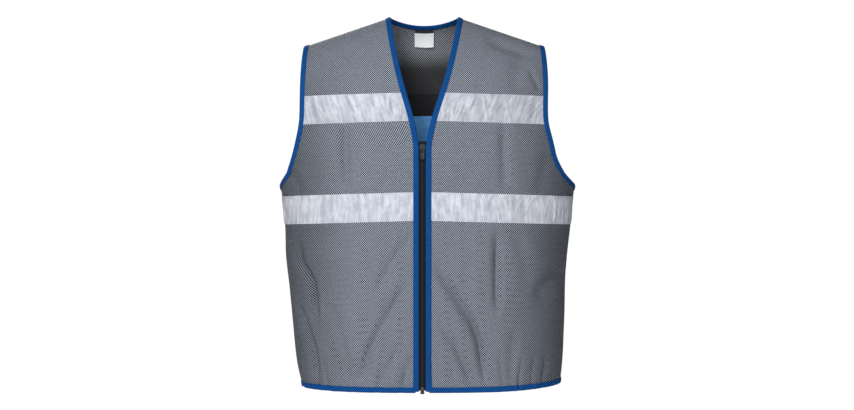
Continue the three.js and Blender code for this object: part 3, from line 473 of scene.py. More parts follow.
def new_object(name, points, faces, material, uv=None, sharp=35, slots=None):
    """A mesh object from points in millimetres. slots gives each face's material number."""
    mesh = bpy.data.meshes.new(name)
    mesh.from_pydata((np.asarray(points) * MM).tolist(), [], faces)
    materials = material if isinstance(material, list) else [material]
    for m in materials:
        mesh.materials.append(m)
    if slots is not None:
        mesh.polygons.foreach_set("material_index", np.asarray(slots, np.int32))
    if uv is not None:
        layer = mesh.uv_layers.new(name="cloth")
        index = np.empty(len(mesh.loops), np.int32)
        mesh.loops.foreach_get("vertex_index", index)
        layer.data.foreach_set("uv", (np.asarray(uv)[index] * MM).astype(np.float32).ravel())
    mesh.shade_smooth()
    mesh.set_sharp_from_angle(angle=math.radians(sharp))
    mesh.update()
    made = bpy.data.objects.new(name, mesh)
    scene.collection.objects.link(made)
    return made


def grid_uv(points):
    """Distances over a grid of points: along its rows, and square to the rows up its columns."""
    steps = np.linalg.norm(np.diff(points, axis=1), axis=-1)
    u = np.pad(np.cumsum(steps, axis=1), ((0, 0), (1, 0)))
    row = unit(np.gradient(points, axis=1))
    up = np.diff(points, axis=0)
    square = up - row[:-1] * dot(up, row[:-1])[..., None]
    v = np.pad(np.cumsum(np.linalg.norm(square, axis=-1), axis=0), ((1, 0), (0, 0)))
    return np.stack([u, v], axis=-1)


def weave_uv(points):
    """Distances across and up a panel for its weave, which runs straight over the shoulders too."""
    x, y, z = points[..., 0], np.abs(points[..., 1]), points[..., 2]
    steps = np.linalg.norm(np.diff(points[..., :2], axis=1), axis=-1)
    across = np.pad(np.cumsum(steps, axis=1), ((0, 0), (1, 0)))
    middle = np.argmin(np.abs(x[0]))
    across = across - across[:, middle : middle + 1] + x[:, middle : middle + 1]
    chest_z = -CHEST_TAPE_DROP
    chest = int(np.argmin(np.abs(z[:, middle] - chest_z)))
    order = np.argsort(x[chest])
    shoulder = z > z[chest]
    across = np.where(shoulder, np.interp(x, x[chest][order], across[chest][order]), across)
    reach = np.interp(x, x[chest][order], y[chest][order])
    up = np.where(shoulder, z[chest] + reach * np.arctan2(z - z[chest], y), z)
    return np.stack([across, up], axis=-1)


def slab(name, outer, inner, uv, material, inside=None):
    """A closed sheet between two grids of points."""
    rows, columns = outer.shape[:2]
    n = rows * columns
    points = np.concatenate([outer.reshape(-1, 3), inner.reshape(-1, 3)])
    i, j = np.meshgrid(np.arange(rows - 1), np.arange(columns - 1), indexing="ij")
    a = (i * columns + j).ravel()
    front = np.stack([a, a + 1, a + columns + 1, a + columns], axis=1)
    middle = (rows // 2, columns // 2)
    p = outer[middle]
    facing = np.dot(
        np.cross(outer[middle[0], middle[1] + 1] - p, outer[middle[0] + 1, middle[1]] - p),
        outer[middle] - inner[middle],
    )
    rim = np.concatenate(
        [
            np.arange(columns - 1),
            np.arange(rows - 1) * columns + columns - 1,
            (rows - 1) * columns + np.arange(columns - 1, 0, -1),
            np.arange(rows - 1, 0, -1) * columns,
        ]
    )
    after = np.roll(rim, -1)
    edge = np.stack([rim, rim + n, after + n, after], axis=1)
    faces = np.concatenate([front, front[:, ::-1] + n, edge])
    if facing < 0:
        faces = faces[:, ::-1]
    slots = None
    if inside is not None:
        slots = np.zeros(len(faces), int)
        slots[len(front) : 2 * len(front)] = 1
        material = [material, inside]
    flat = uv.reshape(-1, 2)
    return new_object(name, points, faces.tolist(), material, np.concatenate([flat, flat]), slots=slots)


def distances(points):
    """Distance of each point from the first along a line."""
    return np.concatenate([[0], np.cumsum(np.linalg.norm(np.diff(points, axis=0), axis=1))])


def offset(place, distance):
    return place[0] + place[1] * np.asarray(distance)[..., None]


def tube(name, sections, closed, material, uv_round, uv_along):
    """A solid skinned over sections, each the same points round its outline."""
    count, around = sections.shape[:2]
    last = count if closed else count - 1
    i, j = np.meshgrid(np.arange(last), np.arange(around), indexing="ij")
    a = (i * around + j).ravel()
    b = (i * around + (j + 1) % around).ravel()
    c = (((i + 1) % count) * around + (j + 1) % around).ravel()
    d = (((i + 1) % count) * around + j).ravel()
    faces = np.stack([a, b, c, d], axis=1).tolist()
    if not closed:
        faces.append(list(range(around))[::-1])
        faces.append([(count - 1) * around + k for k in range(around)])
    uv = np.stack(np.broadcast_arrays(uv_round[None, :], uv_along[:, None]), axis=-1)
    made = new_object(name, sections.reshape(-1, 3), faces, material, uv.reshape(-1, 2), sharp=50)
    fix_facing(made)
    return made


def ring_faces(count, sides):
    """Faces of a solid skinned over rings of points, with a lid at both ends."""
    faces = [
        [r * sides + k, r * sides + (k + 1) % sides, (r + 1) * sides + (k + 1) % sides, (r + 1) * sides + k]
        for r in range(count - 1)
        for k in range(sides)
    ]
    return faces + [list(range(sides))[::-1], [(count - 1) * sides + k for k in range(sides)]]


def fix_facing(made):
    """Turns a closed mesh's faces outwards."""
    mesh = made.data
    mesh.calc_loop_triangles()
    co = np.empty(len(mesh.vertices) * 3)
    mesh.vertices.foreach_get("co", co)
    co = co.reshape(-1, 3)
    tris = np.empty(len(mesh.loop_triangles) * 3, np.int32)
    mesh.loop_triangles.foreach_get("vertices", tris)
    t = co[tris.reshape(-1, 3)]
    volume = np.sum(dot(t[:, 0], np.cross(t[:, 1], t[:, 2])))
    if volume < 0:
        mesh.flip_normals()


LEVEL_LENGTHS = [292, 50, 21, 107, 50, 172]  # from each level line to the next, about


def levels(spacing):
    """Level lines from hem to top, about spacing millimetres apart."""
    parts = [
        np.linspace(k, k + 1, max(2, round(length / spacing)), endpoint=False)
        for k, length in enumerate(LEVEL_LENGTHS)
    ]
    return np.concatenate([*parts, [TOP]])


def reach_in(face, v, start, end, distance):
    """The column that lies some distance in along each level line from its start."""
    first = cloth(face, start + 0 * v, v)[0]
    near, far = start + 0 * v, end + 0 * v
    for _ in range(18):
        middle = (near + far) / 2
        short = np.linalg.norm(cloth(face, middle, v)[0] - first, axis=-1) < distance
        near, far = np.where(short, middle, near), np.where(short, far, middle)
    return (near + far) / 2


def even_path(face, path, spacing):
    """Places evenly spaced along a path of columns and level lines, as columns, levels."""
    t = np.linspace(0, 1, 1200)
    p = cloth(face, *path(t))[0]
    run = distances(p)
    count = max(3, round(run[-1] / spacing))
    return path(np.interp(np.linspace(0, run[-1], count + 1), run, t))


SEARCH_STEPS = 9
COLUMN_STEP, LEVEL_STEP = 0.002, 0.004  # between a place and its neighbours, to find the slopes
COLUMN_LEAP, LEVEL_LEAP = 0.08, 0.3  # the most that one step moves


def nearest(face, target, u, v):
    """Columns and levels of the places on the cloth nearest to some points."""
    lowest = -1 if face.is_back else 0
    best_u, best_v, best = u, v, np.full(u.shape, np.inf)
    for _ in range(SEARCH_STEPS):
        du = np.where(u > (lowest + 1) / 2, -COLUMN_STEP, COLUMN_STEP)
        dv = np.where(v > PIT, -LEVEL_STEP, LEVEL_STEP)
        tries = cloth(face, np.stack([u, u + du, u]), np.stack([v, v, v + dv]))[0]
        miss = target - tries[0]
        size = np.linalg.norm(miss, axis=-1)
        better = size < best
        best_u, best_v = np.where(better, u, best_u), np.where(better, v, best_v)
        best = np.minimum(size, best)
        a, b = (tries[1] - tries[0]) / du[:, None], (tries[2] - tries[0]) / dv[:, None]
        aa, ab, bb, ra, rb = dot(a, a), dot(a, b), dot(b, b), dot(a, miss), dot(b, miss)
        area = np.maximum(aa * bb - ab * ab, 1e-9)
        across, up = (bb * ra - ab * rb) / area, (aa * rb - ab * ra) / area
        u = np.clip(u + np.clip(across, -COLUMN_LEAP, COLUMN_LEAP), lowest, 1)
        v = np.clip(v + np.clip(up, -LEVEL_LEAP, LEVEL_LEAP), HEM, TOP)
    return best_u, best_v


# Materials.


def new_material(name):
    made = bpy.data.materials.new(name)
    made.use_nodes = True
    tree = made.node_tree
    tree.nodes.clear()
    output = tree.nodes.new("ShaderNodeOutputMaterial")
    shader = tree.nodes.new("ShaderNodeBsdfPrincipled")
    tree.links.new(shader.outputs[0], output.inputs[0])
    return made, tree, shader


def fill(made, inputs):
    """Sets a node's inputs, and links those whose value is another node's socket."""
    for key, value in inputs.items():
        if isinstance(value, bpy.types.NodeSocket):
            made.id_data.links.new(value, made.inputs[key])
        else:
            made.inputs[key].default_value = value


def node(tree, kind, inputs=None, **settings):
    made = tree.nodes.new("ShaderNode" + kind)
    for key, value in settings.items():
        setattr(made, key, value)
    fill(made, inputs or {})
    return made


def maths(operation, a, b=0.0, clamp=False):
    return node(a.id_data, "Math", {0: a, 1: b}, operation=operation, use_clamp=clamp).outputs[0]


def times(a, b):
    return maths("MULTIPLY", a, b)


def plus(a, b, clamp=False):
    return maths("ADD", a, b, clamp)


def minus(a, b):
    return maths("SUBTRACT", a, b)


def mixed(share, a, b):
    """A colour between two, each of them a colour or a node's socket."""
    a, b = (c if isinstance(c, bpy.types.NodeSocket) else (*c, 1) for c in (a, b))
    return node(share.id_data, "Mix", {0: share, 6: a, 7: b}, data_type="RGBA").outputs[2]


def uv_axes(tree):
    uv = node(tree, "UVMap", uv_map="cloth").outputs[0]
    axes = node(tree, "SeparateXYZ", {0: uv})
    return uv, axes.outputs[0], axes.outputs[1]


def object_place(tree):
    return node(tree, "TexCoord").outputs["Object"]


def below_top(place):
    """How far down from the shoulders a place is."""
    return times(node(place.id_data, "SeparateXYZ", {0: place}).outputs[2], -1.0)


def stretched(vector, *scale):
    return node(vector.id_data, "Mapping", {0: vector, 3: scale}).outputs[0]


def noise(vector, scale, detail=2.0, roughness=0.5):
    inputs = {"Vector": vector, "Scale": scale, "Detail": detail, "Roughness": roughness}
    return node(vector.id_data, "TexNoise", inputs).outputs[0]


def ramp(value, low, high):
    inputs = {0: value, 1: low, 2: high}
    return node(value.id_data, "MapRange", inputs, interpolation_type="SMOOTHSTEP").outputs[0]


def wave(value, length):
    """Cosine of a distance in metres, one turn a length in millimetres."""
    return maths("COSINE", times(value, 2 * math.pi / (length * MM)))


def bumped(shader, height, distance, strength):
    inputs = {"Height": height, "Distance": distance * MM, "Strength": strength}
    fill(shader, {"Normal": node(shader.id_data, "Bump", inputs).outputs[0]})


MESH_ACROSS, MESH_UP = 3.72, 4.15  # from hole to hole
HOLE_EDGE = (-0.3, -0.14)  # where the yarn ends and the hole begins, on the two waves' product
RIBS = 6  # ribs of the yarn from hole to hole


def mesh_material(name, thread, hole, shading):
    """Warp-knit mesh: diamond holes in staggered rows, with ribbed yarn between them."""
    made, tree, shader = new_material(name)
    uv, x, y = uv_axes(tree)
    holes = ramp(times(wave(x, MESH_ACROSS), wave(y, MESH_UP)), *HOLE_EDGE)
    rib = ramp(wave(plus(x, y), MESH_ACROSS / RIBS), -0.6, 0.9)
    shade = mixed(times(noise(uv, 30.0, 3.0), 0.5), thread, [c * 0.82 for c in thread])
    yarn = mixed(times(rib, 0.16), shade, [c * 0.5 for c in thread])
    # Painted shade: the shading mask darkens the mesh towards black.
    tone = mixed(shading(tree), mixed(holes, yarn, hole), (0.0, 0.0, 0.0))
    fill(shader, {"Base Color": tone, "Roughness": 0.8, "Specular IOR Level": 0.3})
    bumped(shader, minus(times(rib, 0.15), holes), 0.35, 0.4)
    return made


def painted_side_shade(tree):
    """Painted shade: the cloth is darkened where it turns round to the side seams, a little more on its right
    than on its left.
    """
    place = object_place(tree)
    across = node(tree, "SeparateXYZ", {0: place}).outputs[0]
    drift = times(minus(noise(place, 9.0, 2.0), 0.5), 0.06)
    right = times(ramp(plus(times(across, -1.0), drift), 0.11, 0.25), 0.52)
    left = times(ramp(plus(across, drift), 0.12, 0.25), 0.46)
    return times(plus(right, left), ramp(below_top(place), 0.02, 0.2))


def painted_shade_below_neckline(tree):
    """Painted shade: the inside is darker away from the neckline."""
    return times(ramp(below_top(object_place(tree)), 0.045, 0.09), 0.84)


def twill_material(name, colour, light, rib, roughness, cross=0.0, sheen=0.25, gloss=0.5):
    """Narrow woven tape or close cloth: fine ribs, with a slow change of tone."""
    made, tree, shader = new_material(name)
    uv, x, y = uv_axes(tree)
    ribs = wave(plus(y, times(x, cross)), rib)
    height = plus(times(ribs, 0.6), times(wave(x, rib * 0.8), 0.4))
    share = plus(times(height, 0.22), times(noise(uv, 90.0, 4.0, 0.6), 0.75), clamp=True)
    fill(shader, {"Base Color": mixed(share, colour, light), "Roughness": roughness})
    fill(shader, {"Sheen Weight": sheen, "Specular IOR Level": gloss})
    bumped(shader, height, 0.12, 0.8)
    return made


def reflective_material(name, dull, bright):
    """Glass-bead tape: a silvery film with a fine grain and faint rubbed streaks."""
    made, tree, shader = new_material(name)
    uv = uv_axes(tree)[0]
    grain, cloud = noise(uv, 2600.0, 2.0, 0.7), noise(uv, 45.0, 5.0, 0.6)
    streak = noise(stretched(uv, 130.0, 22.0, 1.0), 1.0, 3.0, 0.6)
    share = plus(times(cloud, 0.45), times(streak, 0.55))
    film = mixed(ramp(share, 0.38, 0.62), dull, bright)
    tone = mixed(times(grain, 0.16), film, (0.9, 0.91, 0.95))
    fill(shader, {"Base Color": tone, "Roughness": plus(times(cloud, 0.12), 0.42)})
    fill(shader, {"Metallic": 0.08, "Specular IOR Level": 0.12})
    bumped(shader, plus(grain, times(cloud, 2.0)), 0.06, 0.5)
    return made


def lining_material():
    """Absorbent knit of mixed blue fibres."""
    made, tree, shader = new_material("blue_lining")
    uv, x, y = uv_axes(tree)
    fleck = noise(stretched(uv, 1.0, 0.45, 1.0), 620.0, 4.0, 0.75)
    share = ramp(plus(times(fleck, 0.75), times(noise(uv, 60.0, 3.0), 0.25)), 0.36, 0.64)
    tone = mixed(share, (0.075, 0.31, 0.82), (0.21, 0.55, 0.97))
    fill(shader, {"Base Color": tone, "Roughness": 0.95, "Sheen Weight": 0.3})
    loops = times(wave(x, 1.4), wave(y, 1.1))
    bumped(shader, plus(fleck, times(loops, 0.3)), 0.3, 0.7)
    return made


def label_material():
    """Woven satin, bare."""
    made, tree, shader = new_material("label_satin")
    uv, x, y = uv_axes(tree)
    tone = mixed(noise(uv, 150.0, 3.0), (0.9, 0.91, 0.94), (0.97, 0.98, 0.99))
    fill(shader, {"Base Color": tone, "Roughness": 0.45})
    bumped(shader, plus(wave(y, 0.35), times(wave(x, 0.5), 0.5)), 0.03, 0.6)
    return made


def hard_material(name, colour, worn, roughness, metallic, gloss=0.5):
    """Moulded or enamelled surface: brighter where rubbed, with fine scratches."""
    made, tree, shader = new_material(name)
    place = object_place(tree)
    cloud, fine = noise(place, 700.0, 4.0, 0.6), noise(stretched(place, 1.0, 1.0, 0.2), 4200.0, 2.0)
    rub = times(ramp(cloud, 0.5, 0.75), ramp(fine, 0.45, 0.7))
    rough = plus(times(cloud, 0.2), roughness - 0.1)
    fill(shader, {"Base Color": mixed(rub, colour, worn), "Roughness": rough})
    fill(shader, {"Metallic": metallic, "Specular IOR Level": gloss})
    bumped(shader, cloud, 0.02, 0.4)
    return made


# The outside mesh carries painted shade near its side seams.
MESH = mesh_material("grey_mesh", (0.475, 0.53, 0.64), (0.008, 0.008, 0.01), painted_side_shade)
# The inside faces are a lighter copy of the mesh, with painted shade that darkens them away from the
# neckline.
MESH_INSIDE = mesh_material("grey_mesh_inside", (0.58, 0.6, 0.66), (0.01, 0.01, 0.012), painted_shade_below_neckline)
BINDING = twill_material(
    "blue_binding", (0.002, 0.045, 0.18), (0.004, 0.075, 0.27), 0.9, 0.85, sheen=0.0, gloss=0.12
)
THREAD = twill_material(
    "blue_thread", (0.002, 0.04, 0.17), (0.006, 0.085, 0.3), 0.4, 0.75, 1.0, sheen=0.0, gloss=0.2
)
SILVER_THREAD = twill_material(
    "grey_thread", (0.3, 0.31, 0.35), (0.5, 0.51, 0.56), 0.4, 0.6, 1.0, sheen=0.0
)
DARK_THREAD = twill_material(
    "dark_thread", (0.01, 0.01, 0.012), (0.03, 0.03, 0.034), 0.4, 0.6, 1.0, gloss=0.2
)
# The chest tape is the same tape as the waist tape. Its copy is painted darker, as painted shade that takes
# back the key lamp's stronger light on the chest.
CHEST_TAPE = reflective_material("chest_tape", (0.26, 0.28, 0.33), (0.45, 0.47, 0.53))
WAIST_TAPE = reflective_material("waist_tape", (0.34, 0.36, 0.42), (0.55, 0.57, 0.64))
LINING = lining_material()
BAND = twill_material(
    "black_cloth", (0.006, 0.006, 0.008), (0.02, 0.02, 0.024), 0.9, 0.85, 0.6, gloss=0.3
)
LABEL = label_material()
ZIP_CLOTH = twill_material(
    "zip_tape", (0.005, 0.006, 0.009), (0.014, 0.016, 0.024), 1.1, 0.85, 1.0, sheen=0.0, gloss=0.2
)
COIL = hard_material("zip_teeth", (0.009, 0.011, 0.017), (0.022, 0.025, 0.034), 0.6, 0.0, gloss=0.25)
ENAMEL = hard_material("black_enamel", (0.004, 0.004, 0.006), (0.03, 0.03, 0.034), 0.42, 0.0, gloss=0.35)
GUNMETAL = hard_material("dark_brass", (0.05, 0.045, 0.045), (0.16, 0.14, 0.13), 0.5, 0.6)

# Cloth.

ROW_SPACING = 3.2


def dress(made, slot, *nodes, body="vest"):
    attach(made, body)
    if nodes:
        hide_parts(*nodes)


def area_of(outer):
    """Area of a grid of points in square metres."""
    a, b = outer[1:, 1:] - outer[:-1, :-1], outer[1:, :-1] - outer[:-1, 1:]
    return float(np.sum(np.linalg.norm(np.cross(a, b), axis=-1)) / 2 * MM * MM)


def longest(lines):
    return float(max(distances(line)[-1] for line in lines[:: max(1, len(lines) // 8)])) * MM


def declare(outer):
    """Works out what the sheet measures flat, its area and its longest lines across and down, and does
    nothing more with them.
    """
    flat = (longest(outer), longest(outer.swapaxes(0, 1)))
    area_of(outer)


quarter = np.arcsin(
    armhole_edge(OUTER[CHEST_HIGH], np.array(1), BACK) / half_width(OUTER[CHEST_HIGH], np.array(1))
)
NECK_U = float(np.arcsin(np.sin(quarter) * NECK_SHARE) / quarter)
FRONT_COLUMNS = np.linspace(0, 1, 88)
BACK_COLUMNS = np.concatenate(
    [np.linspace(-1, -NECK_U, 60)[:-1], np.linspace(-NECK_U, NECK_U, 49)[:-1], np.linspace(NECK_U, 1, 60)]
)


def panel(name, face, columns, node_name):
    place = cloth(face, columns[None, :], levels(ROW_SPACING)[:, None])
    outer, inner = offset(place, CLOTH_OUTER), offset(place, CLOTH_INNER)
    even = offset(smooth_cloth(face, columns[None, :], levels(ROW_SPACING)[:, None]), CLOTH_OUTER)
    made = slab(name, outer, inner, weave_uv(even), MESH, MESH_INSIDE)
    dress(made, "mesh_cloth", node_name)
    declare(outer)


panel("mesh_front_right", RIGHT, FRONT_COLUMNS, "front_panel_right")
panel("mesh_front_left", LEFT, FRONT_COLUMNS, "front_panel_left")
panel("mesh_back", BACK, BACK_COLUMNS, "back_panel")


def crinkles(seed, length):
    """Height of a tape's wrinkles: mostly upright ridges that bend, lean and come in groups."""
    rng = np.random.default_rng(seed)
    count = max(6, round(length / 4.6))
    middle = rng.uniform(0, length, count)
    limits = ((-0.7, 0.7), (-5, 5), (1.1, 3.2), (0.2, 1.5), (-0.3, 1.3), (0.2, 0.9))
    rows = [(m, *(rng.uniform(*limit) for limit in limits)) for m in middle]

    def at(a, t):
        total = 0
        for m, lean, bend, width, height, centre, spread in rows:
            off = a - m - lean * TAPE_WIDTH * (t - 0.5) - bend * np.sin(math.pi * t)
            total = np.maximum(total, height * np.exp(-((off / width) ** 2) - ((t - centre) / spread) ** 2))
        soft = 0.5 + 0.5 * np.sin(a * 2 * math.pi / 31 + seed + 2.0 * t)
        return total + 0.35 * soft

    return at


TAPE_SEAM = 0.13  # share of a tape's width that its sewn edge holds flat
TAPE_END = 14  # and the length at both ends
PUCKER = 0.22  # height of the small waves along its seams
STITCH_LINES = (0.045, 0.955)  # where its seams run, as a share of its width


def tape(name, face, low, high, seed, node_name):
    """Reflective tape, its ends under the bindings or at the side seams."""
    t = np.linspace(0, 1, 34)[:, None]
    v = lerp(low, high, t)
    at_chest = high > PIT
    if face.is_back:
        start = -reach_in(face, v, 1, 0, 3) if at_chest else -1 + 0 * v
        end = reach_in(face, v, 1, 0, 3) if at_chest else 1 + 0 * v
        length = 440 if at_chest else 560
    else:
        start = reach_in(face, v, 0, 1, 3)
        end = reach_in(face, v, 1, 0, 3) if at_chest else 1 + 0 * v
        length = 200 if at_chest else 300
    columns = np.linspace(0, 1, round(length / 1.6))[None, :]
    u = lerp(start, end, columns)
    place = cloth(face, u, v + 0 * u)
    flat = offset(place, TAPE_OUTER)
    run = grid_uv(flat)[..., 0]
    free = smooth(t / TAPE_SEAM) * smooth((1 - t) / TAPE_SEAM)
    pucker = PUCKER * (0.5 + 0.5 * np.sin(run * 2 * math.pi / 6.2 + 3 * np.sin(run / 23)))
    ends = smooth(run / TAPE_END) * smooth((run[:, -1:] - run) / TAPE_END)
    height = crinkles(seed, length)(run, t) * free * ends + pucker * (1 - free)
    outer, inner = offset(place, TAPE_OUTER + height), offset(place, TAPE_INNER + height * 0.98)
    made = slab(name, outer, inner, grid_uv(outer), CHEST_TAPE if at_chest else WAIST_TAPE)
    dress(made, "reflective_tape", node_name)
    lines = []
    for at in STITCH_LINES:
        vv = lerp(low, high, at)
        first, last = (np.interp(at, t[:, 0], edge[:, 0]) for edge in (start, end))
        fine = lerp(first, last, np.linspace(0, 1, 400))
        p, n = cloth(face, fine, vv + 0 * fine)
        lines.append((p + n * (TAPE_OUTER + 0.12), n))
    thread = stitches(name + "_stitches", lines, SILVER_THREAD, 0.22)
    dress(thread, "reflective_tape")
    declare(outer)


def stitches(name, lines, material, radius, pitch=3.0, length=2.2):
    """Rows of short stitches that dip into the cloth at both ends."""
    points, faces = [], []
    profile = ((-0.5, -0.35, 0.35), (-0.26, 0.0, 1.0), (0.26, 0.0, 1.0), (0.5, -0.35, 0.35))
    for p, n in lines:
        run = distances(p)
        at = np.arange(pitch, run[-1] - pitch, pitch)
        centre = np.stack([np.interp(at, run, p[:, i]) for i in range(3)], axis=1)
        normal = unit(np.stack([np.interp(at, run, n[:, i]) for i in range(3)], axis=1))
        ahead = np.stack([np.interp(at + 0.5, run, p[:, i]) for i in range(3)], axis=1)
        way = unit(ahead - centre)
        side = np.cross(normal, way)
        rings = []
        for shift, drop, size in profile:
            middle = centre + way * shift * length + normal * drop
            for k in range(4):
                angle = math.pi / 4 + k * math.pi / 2
                rings.append(middle + (side * math.cos(angle) + normal * math.sin(angle)) * radius * size)
        block = np.stack(rings, axis=1)
        base = sum(len(b) for b in points) + 16 * np.arange(len(at))
        faces.append((base[:, None, None] + np.array(ring_faces(len(profile), 4))[None]).reshape(-1, 4))
        points.append(block.reshape(-1, 3))
    p = np.concatenate(points)
    uv = np.stack([p[:, 0] + p[:, 1], p[:, 2]], axis=1)
    made = new_object(name, p, np.concatenate(faces).tolist(), material, uv, sharp=70)
    fix_facing(made)
    return made


tape("chest_reflector_right", RIGHT, CHEST_LOW, CHEST_HIGH, 11, "chest_tape_right")
tape("chest_reflector_left", LEFT, CHEST_LOW, CHEST_HIGH, 12, "chest_tape_left")
tape("chest_reflector_back", BACK, CHEST_LOW, CHEST_HIGH, 13, "chest_tape_back")
tape("waist_reflector_right", RIGHT, WAIST_LOW, WAIST_HIGH, 14, "waist_tape_right")
tape("waist_reflector_left", LEFT, WAIST_LOW, WAIST_HIGH, 15, "waist_tape_left")
tape("waist_reflector_back", BACK, WAIST_LOW, WAIST_HIGH, 16, "waist_tape_back")

# Bindings.

# Section of a folded binding: distance in from the cloth's edge, then height over its inner face.
BINDING_SECTION = np.array(
    [
        (7.6, 1.5), (7.6, 2.0), (7.2, 2.25), (6.7, 2.2), (6.2, 2.0), (5.7, 2.2),
        (4.4, 2.45), (2.2, 2.55), (0.2, 2.5), (-0.9, 2.3), (-1.8, 1.75), (-2.3, 0.8),
        (-1.9, -0.2), (-1.0, -0.85), (0.2, -1.0), (4.4, -1.0), (7.2, -0.95), (7.6, -0.75),
        (7.6, -0.1), (-0.4, -0.1), (-0.9, 0.7), (-0.4, 1.5),
    ]
)
STITCH_LIFT = 0.16  # of the stitches off the binding
BINDING_RIPPLE = 0.16  # how far its outer side is uneven
STITCH_ROW, BACK_STITCH_ROW = 4, 15  # rows of the section that the stitches run in


def stations(runs, closed):
    """Frames along an edge from runs of (face, columns, levels, hint): points, normals, the way into
    the cloth, and the same at the flap's end."""
    points, normals, hints = [], [], []
    for face, u, v, hint in runs:
        p, n = cloth(face, u, v)
        points.append(p)
        normals.append(n)
        hints.append(np.broadcast_to(hint, p.shape))
    p, n, hint = np.concatenate(points), np.concatenate(normals), np.concatenate(hints)
    if closed:
        tangent = np.roll(p, -1, axis=0) - np.roll(p, 1, axis=0)
    else:
        tangent = np.gradient(p, axis=0)
    into = unit(np.cross(tangent, n))
    into = into * np.sign(dot(into, hint))[:, None]
    flap_p, flap_n, start = [], [], 0
    for face, u, v, hint in runs:
        stop = start + len(u)
        target = p[start:stop] + into[start:stop] * FLAP
        a, b = nearest(face, target, u * 0.97, np.where(v >= TOP, v - 0.03, v))
        q, m = cloth(face, a, b)
        flap_p.append(q)
        flap_n.append(m)
        start = stop
    return p, n, into, np.concatenate(flap_p), np.concatenate(flap_n)


def smoothed(a, times, closed):
    for _ in range(times):
        if closed:
            a = (np.roll(a, 1, axis=0) + 2 * a + np.roll(a, -1, axis=0)) / 4
        else:
            a = np.concatenate([a[:1], (a[:-2] + 2 * a[1:-1] + a[2:]) / 4, a[-1:]])
    return a


def binding(name, runs, closed, node_name, seed, swell=None):
    """A binding folded over an edge, with a row of stitches on both sides."""
    p, n, into, q, m = stations(runs, closed)
    into = unit(smoothed(into, 4, closed))
    q = smoothed(q, 2, closed)
    n, m = unit(smoothed(n, 2, closed)), unit(smoothed(m, 2, closed))
    run = distances(p)
    rough = ripples(seed, 5, 7, 24, 0.1)(run, 0 * run)
    extra = 0 * run if swell is None else swell(run, run[-1])
    sections = []
    for d, h in BINDING_SECTION:
        share = np.clip(d / FLAP, 0, 1)
        base = lerp(p, q, share) + into * min(d, 0)
        normal = unit(lerp(n, m, share))
        outwards = h > CLOTH_OUTER
        height = h + (BINDING_RIPPLE * rough + extra if outwards else -extra)
        sections.append(base + normal * height[:, None])
    block = np.stack(sections, axis=1)
    around = distances(BINDING_SECTION)
    made = tube(name, block, closed, BINDING, around, run)
    dress(made, "binding", node_name)
    seam = block[:, STITCH_ROW] + n * STITCH_LIFT
    inner = block[:, BACK_STITCH_ROW] - n * STITCH_LIFT
    line, back, facing = (np.concatenate([a, a[:1]]) if closed else a for a in (seam, inner, n))
    thread = stitches(name + "_stitches", [(line, facing), (back, -facing)], THREAD, 0.24)
    dress(thread, "binding")


def constant(value):
    return lambda t: value + 0 * t


def edge_run(face, columns, rows, hint, spacing=2.4):
    u, v = even_path(face, lambda t: (columns(t), rows(t)), spacing)
    return face, u, v, hint


def armhole(name, front, node_name, seed):
    up = edge_run(front, constant(1.0), lambda t: lerp(PIT, TOP, t), None)
    down = edge_run(BACK, constant(float(front.side)), lambda t: lerp(TOP, PIT, t), None)
    runs = []
    for face, u, v, _ in (up, down):
        low = (v < PIT + 0.25)[:, None]
        hint = np.where(low, [0.0, 0.0, -1.0], [-float(front.side), 0.0, 0.0])
        runs.append([face, u, v, hint])
    runs[1] = [runs[1][0], *[a[1:-1] for a in runs[1][1:]]]
    binding(name, runs, True, node_name, seed)


armhole("armhole_trim_right", RIGHT, "armhole_binding_right", 21)
armhole("armhole_trim_left", LEFT, "armhole_binding_left", 22)


def trimmed(run, first, last):
    face, u, v, hint = run
    stop = len(u) - last
    return face, u[first:stop], v[first:stop], hint if np.ndim(hint) < 2 else hint[first:stop]


up_right = edge_run(RIGHT, constant(0.0), lambda t: lerp(HEM, TOP, t), [-1.0, 0, 0])
round_back = edge_run(BACK, lambda t: lerp(-NECK_U, NECK_U, t), constant(float(TOP)), None)
behind = np.stack([round_back[1], 0 * round_back[1], -0.3 + 0 * round_back[1]], axis=1)
round_back = (round_back[0], round_back[1], round_back[2], behind)
down_left = edge_run(LEFT, constant(0.0), lambda t: lerp(TOP, HEM, t), [1.0, 0, 0])


def over_hem(run, length):
    """The neck's binding is a little fuller at both feet, where it laps over the hem's."""
    ends = np.minimum(run, length - run)
    return 0.55 * smooth((13 - ends) / 6)


neck_runs = [up_right, trimmed(round_back, 1, 1), down_left]
binding("neck_trim", neck_runs, False, "neck_binding", 23, over_hem)

hem_runs = [
    trimmed(edge_run(RIGHT, lambda t: t, constant(0.0), [0, 0, 1.0], 2.0), 2, 0),
    trimmed(edge_run(BACK, lambda t: lerp(-1, 1, t), constant(0.0), [0, 0, 1.0], 2.0), 1, 1),
    trimmed(edge_run(LEFT, lambda t: 1 - t, constant(0.0), [0, 0, 1.0], 2.0), 0, 2),
]
binding("hem_trim", hem_runs, False, "hem_binding", 24)

# Inside of the back.

BAND_ABOVE_TAPE = CHEST_TAPE_DROP + CHEST_TAPE_SAG - BAND_DROP
BAND_ROLL = 5  # the band's folded top edge stands a little over its sewn line
BAND_LOW = CHEST_LOW + (TAPE_WIDTH + BAND_ABOVE_TAPE - BAND_WIDTH) / TAPE_WIDTH
BAND_HIGH = CHEST_HIGH + (BAND_ABOVE_TAPE + BAND_ROLL) / (CHEST_TAPE_DROP + SHOULDER_DROP)


def inner_sheet(name, u, v, low, high, material, slot, node_name, raised=0):
    """A sheet sewn to the inside of the back, between two distances from the cloth's inner face."""
    place = cloth(BACK, u + 0 * v, v + 0 * u)
    raised = raised + 0 * place[0][..., 0]
    near, far = offset(place, high + raised), offset(place, low + raised)
    made = slab(name, near, far, grid_uv(near), material)
    dress(made, slot, node_name)
    declare(near)


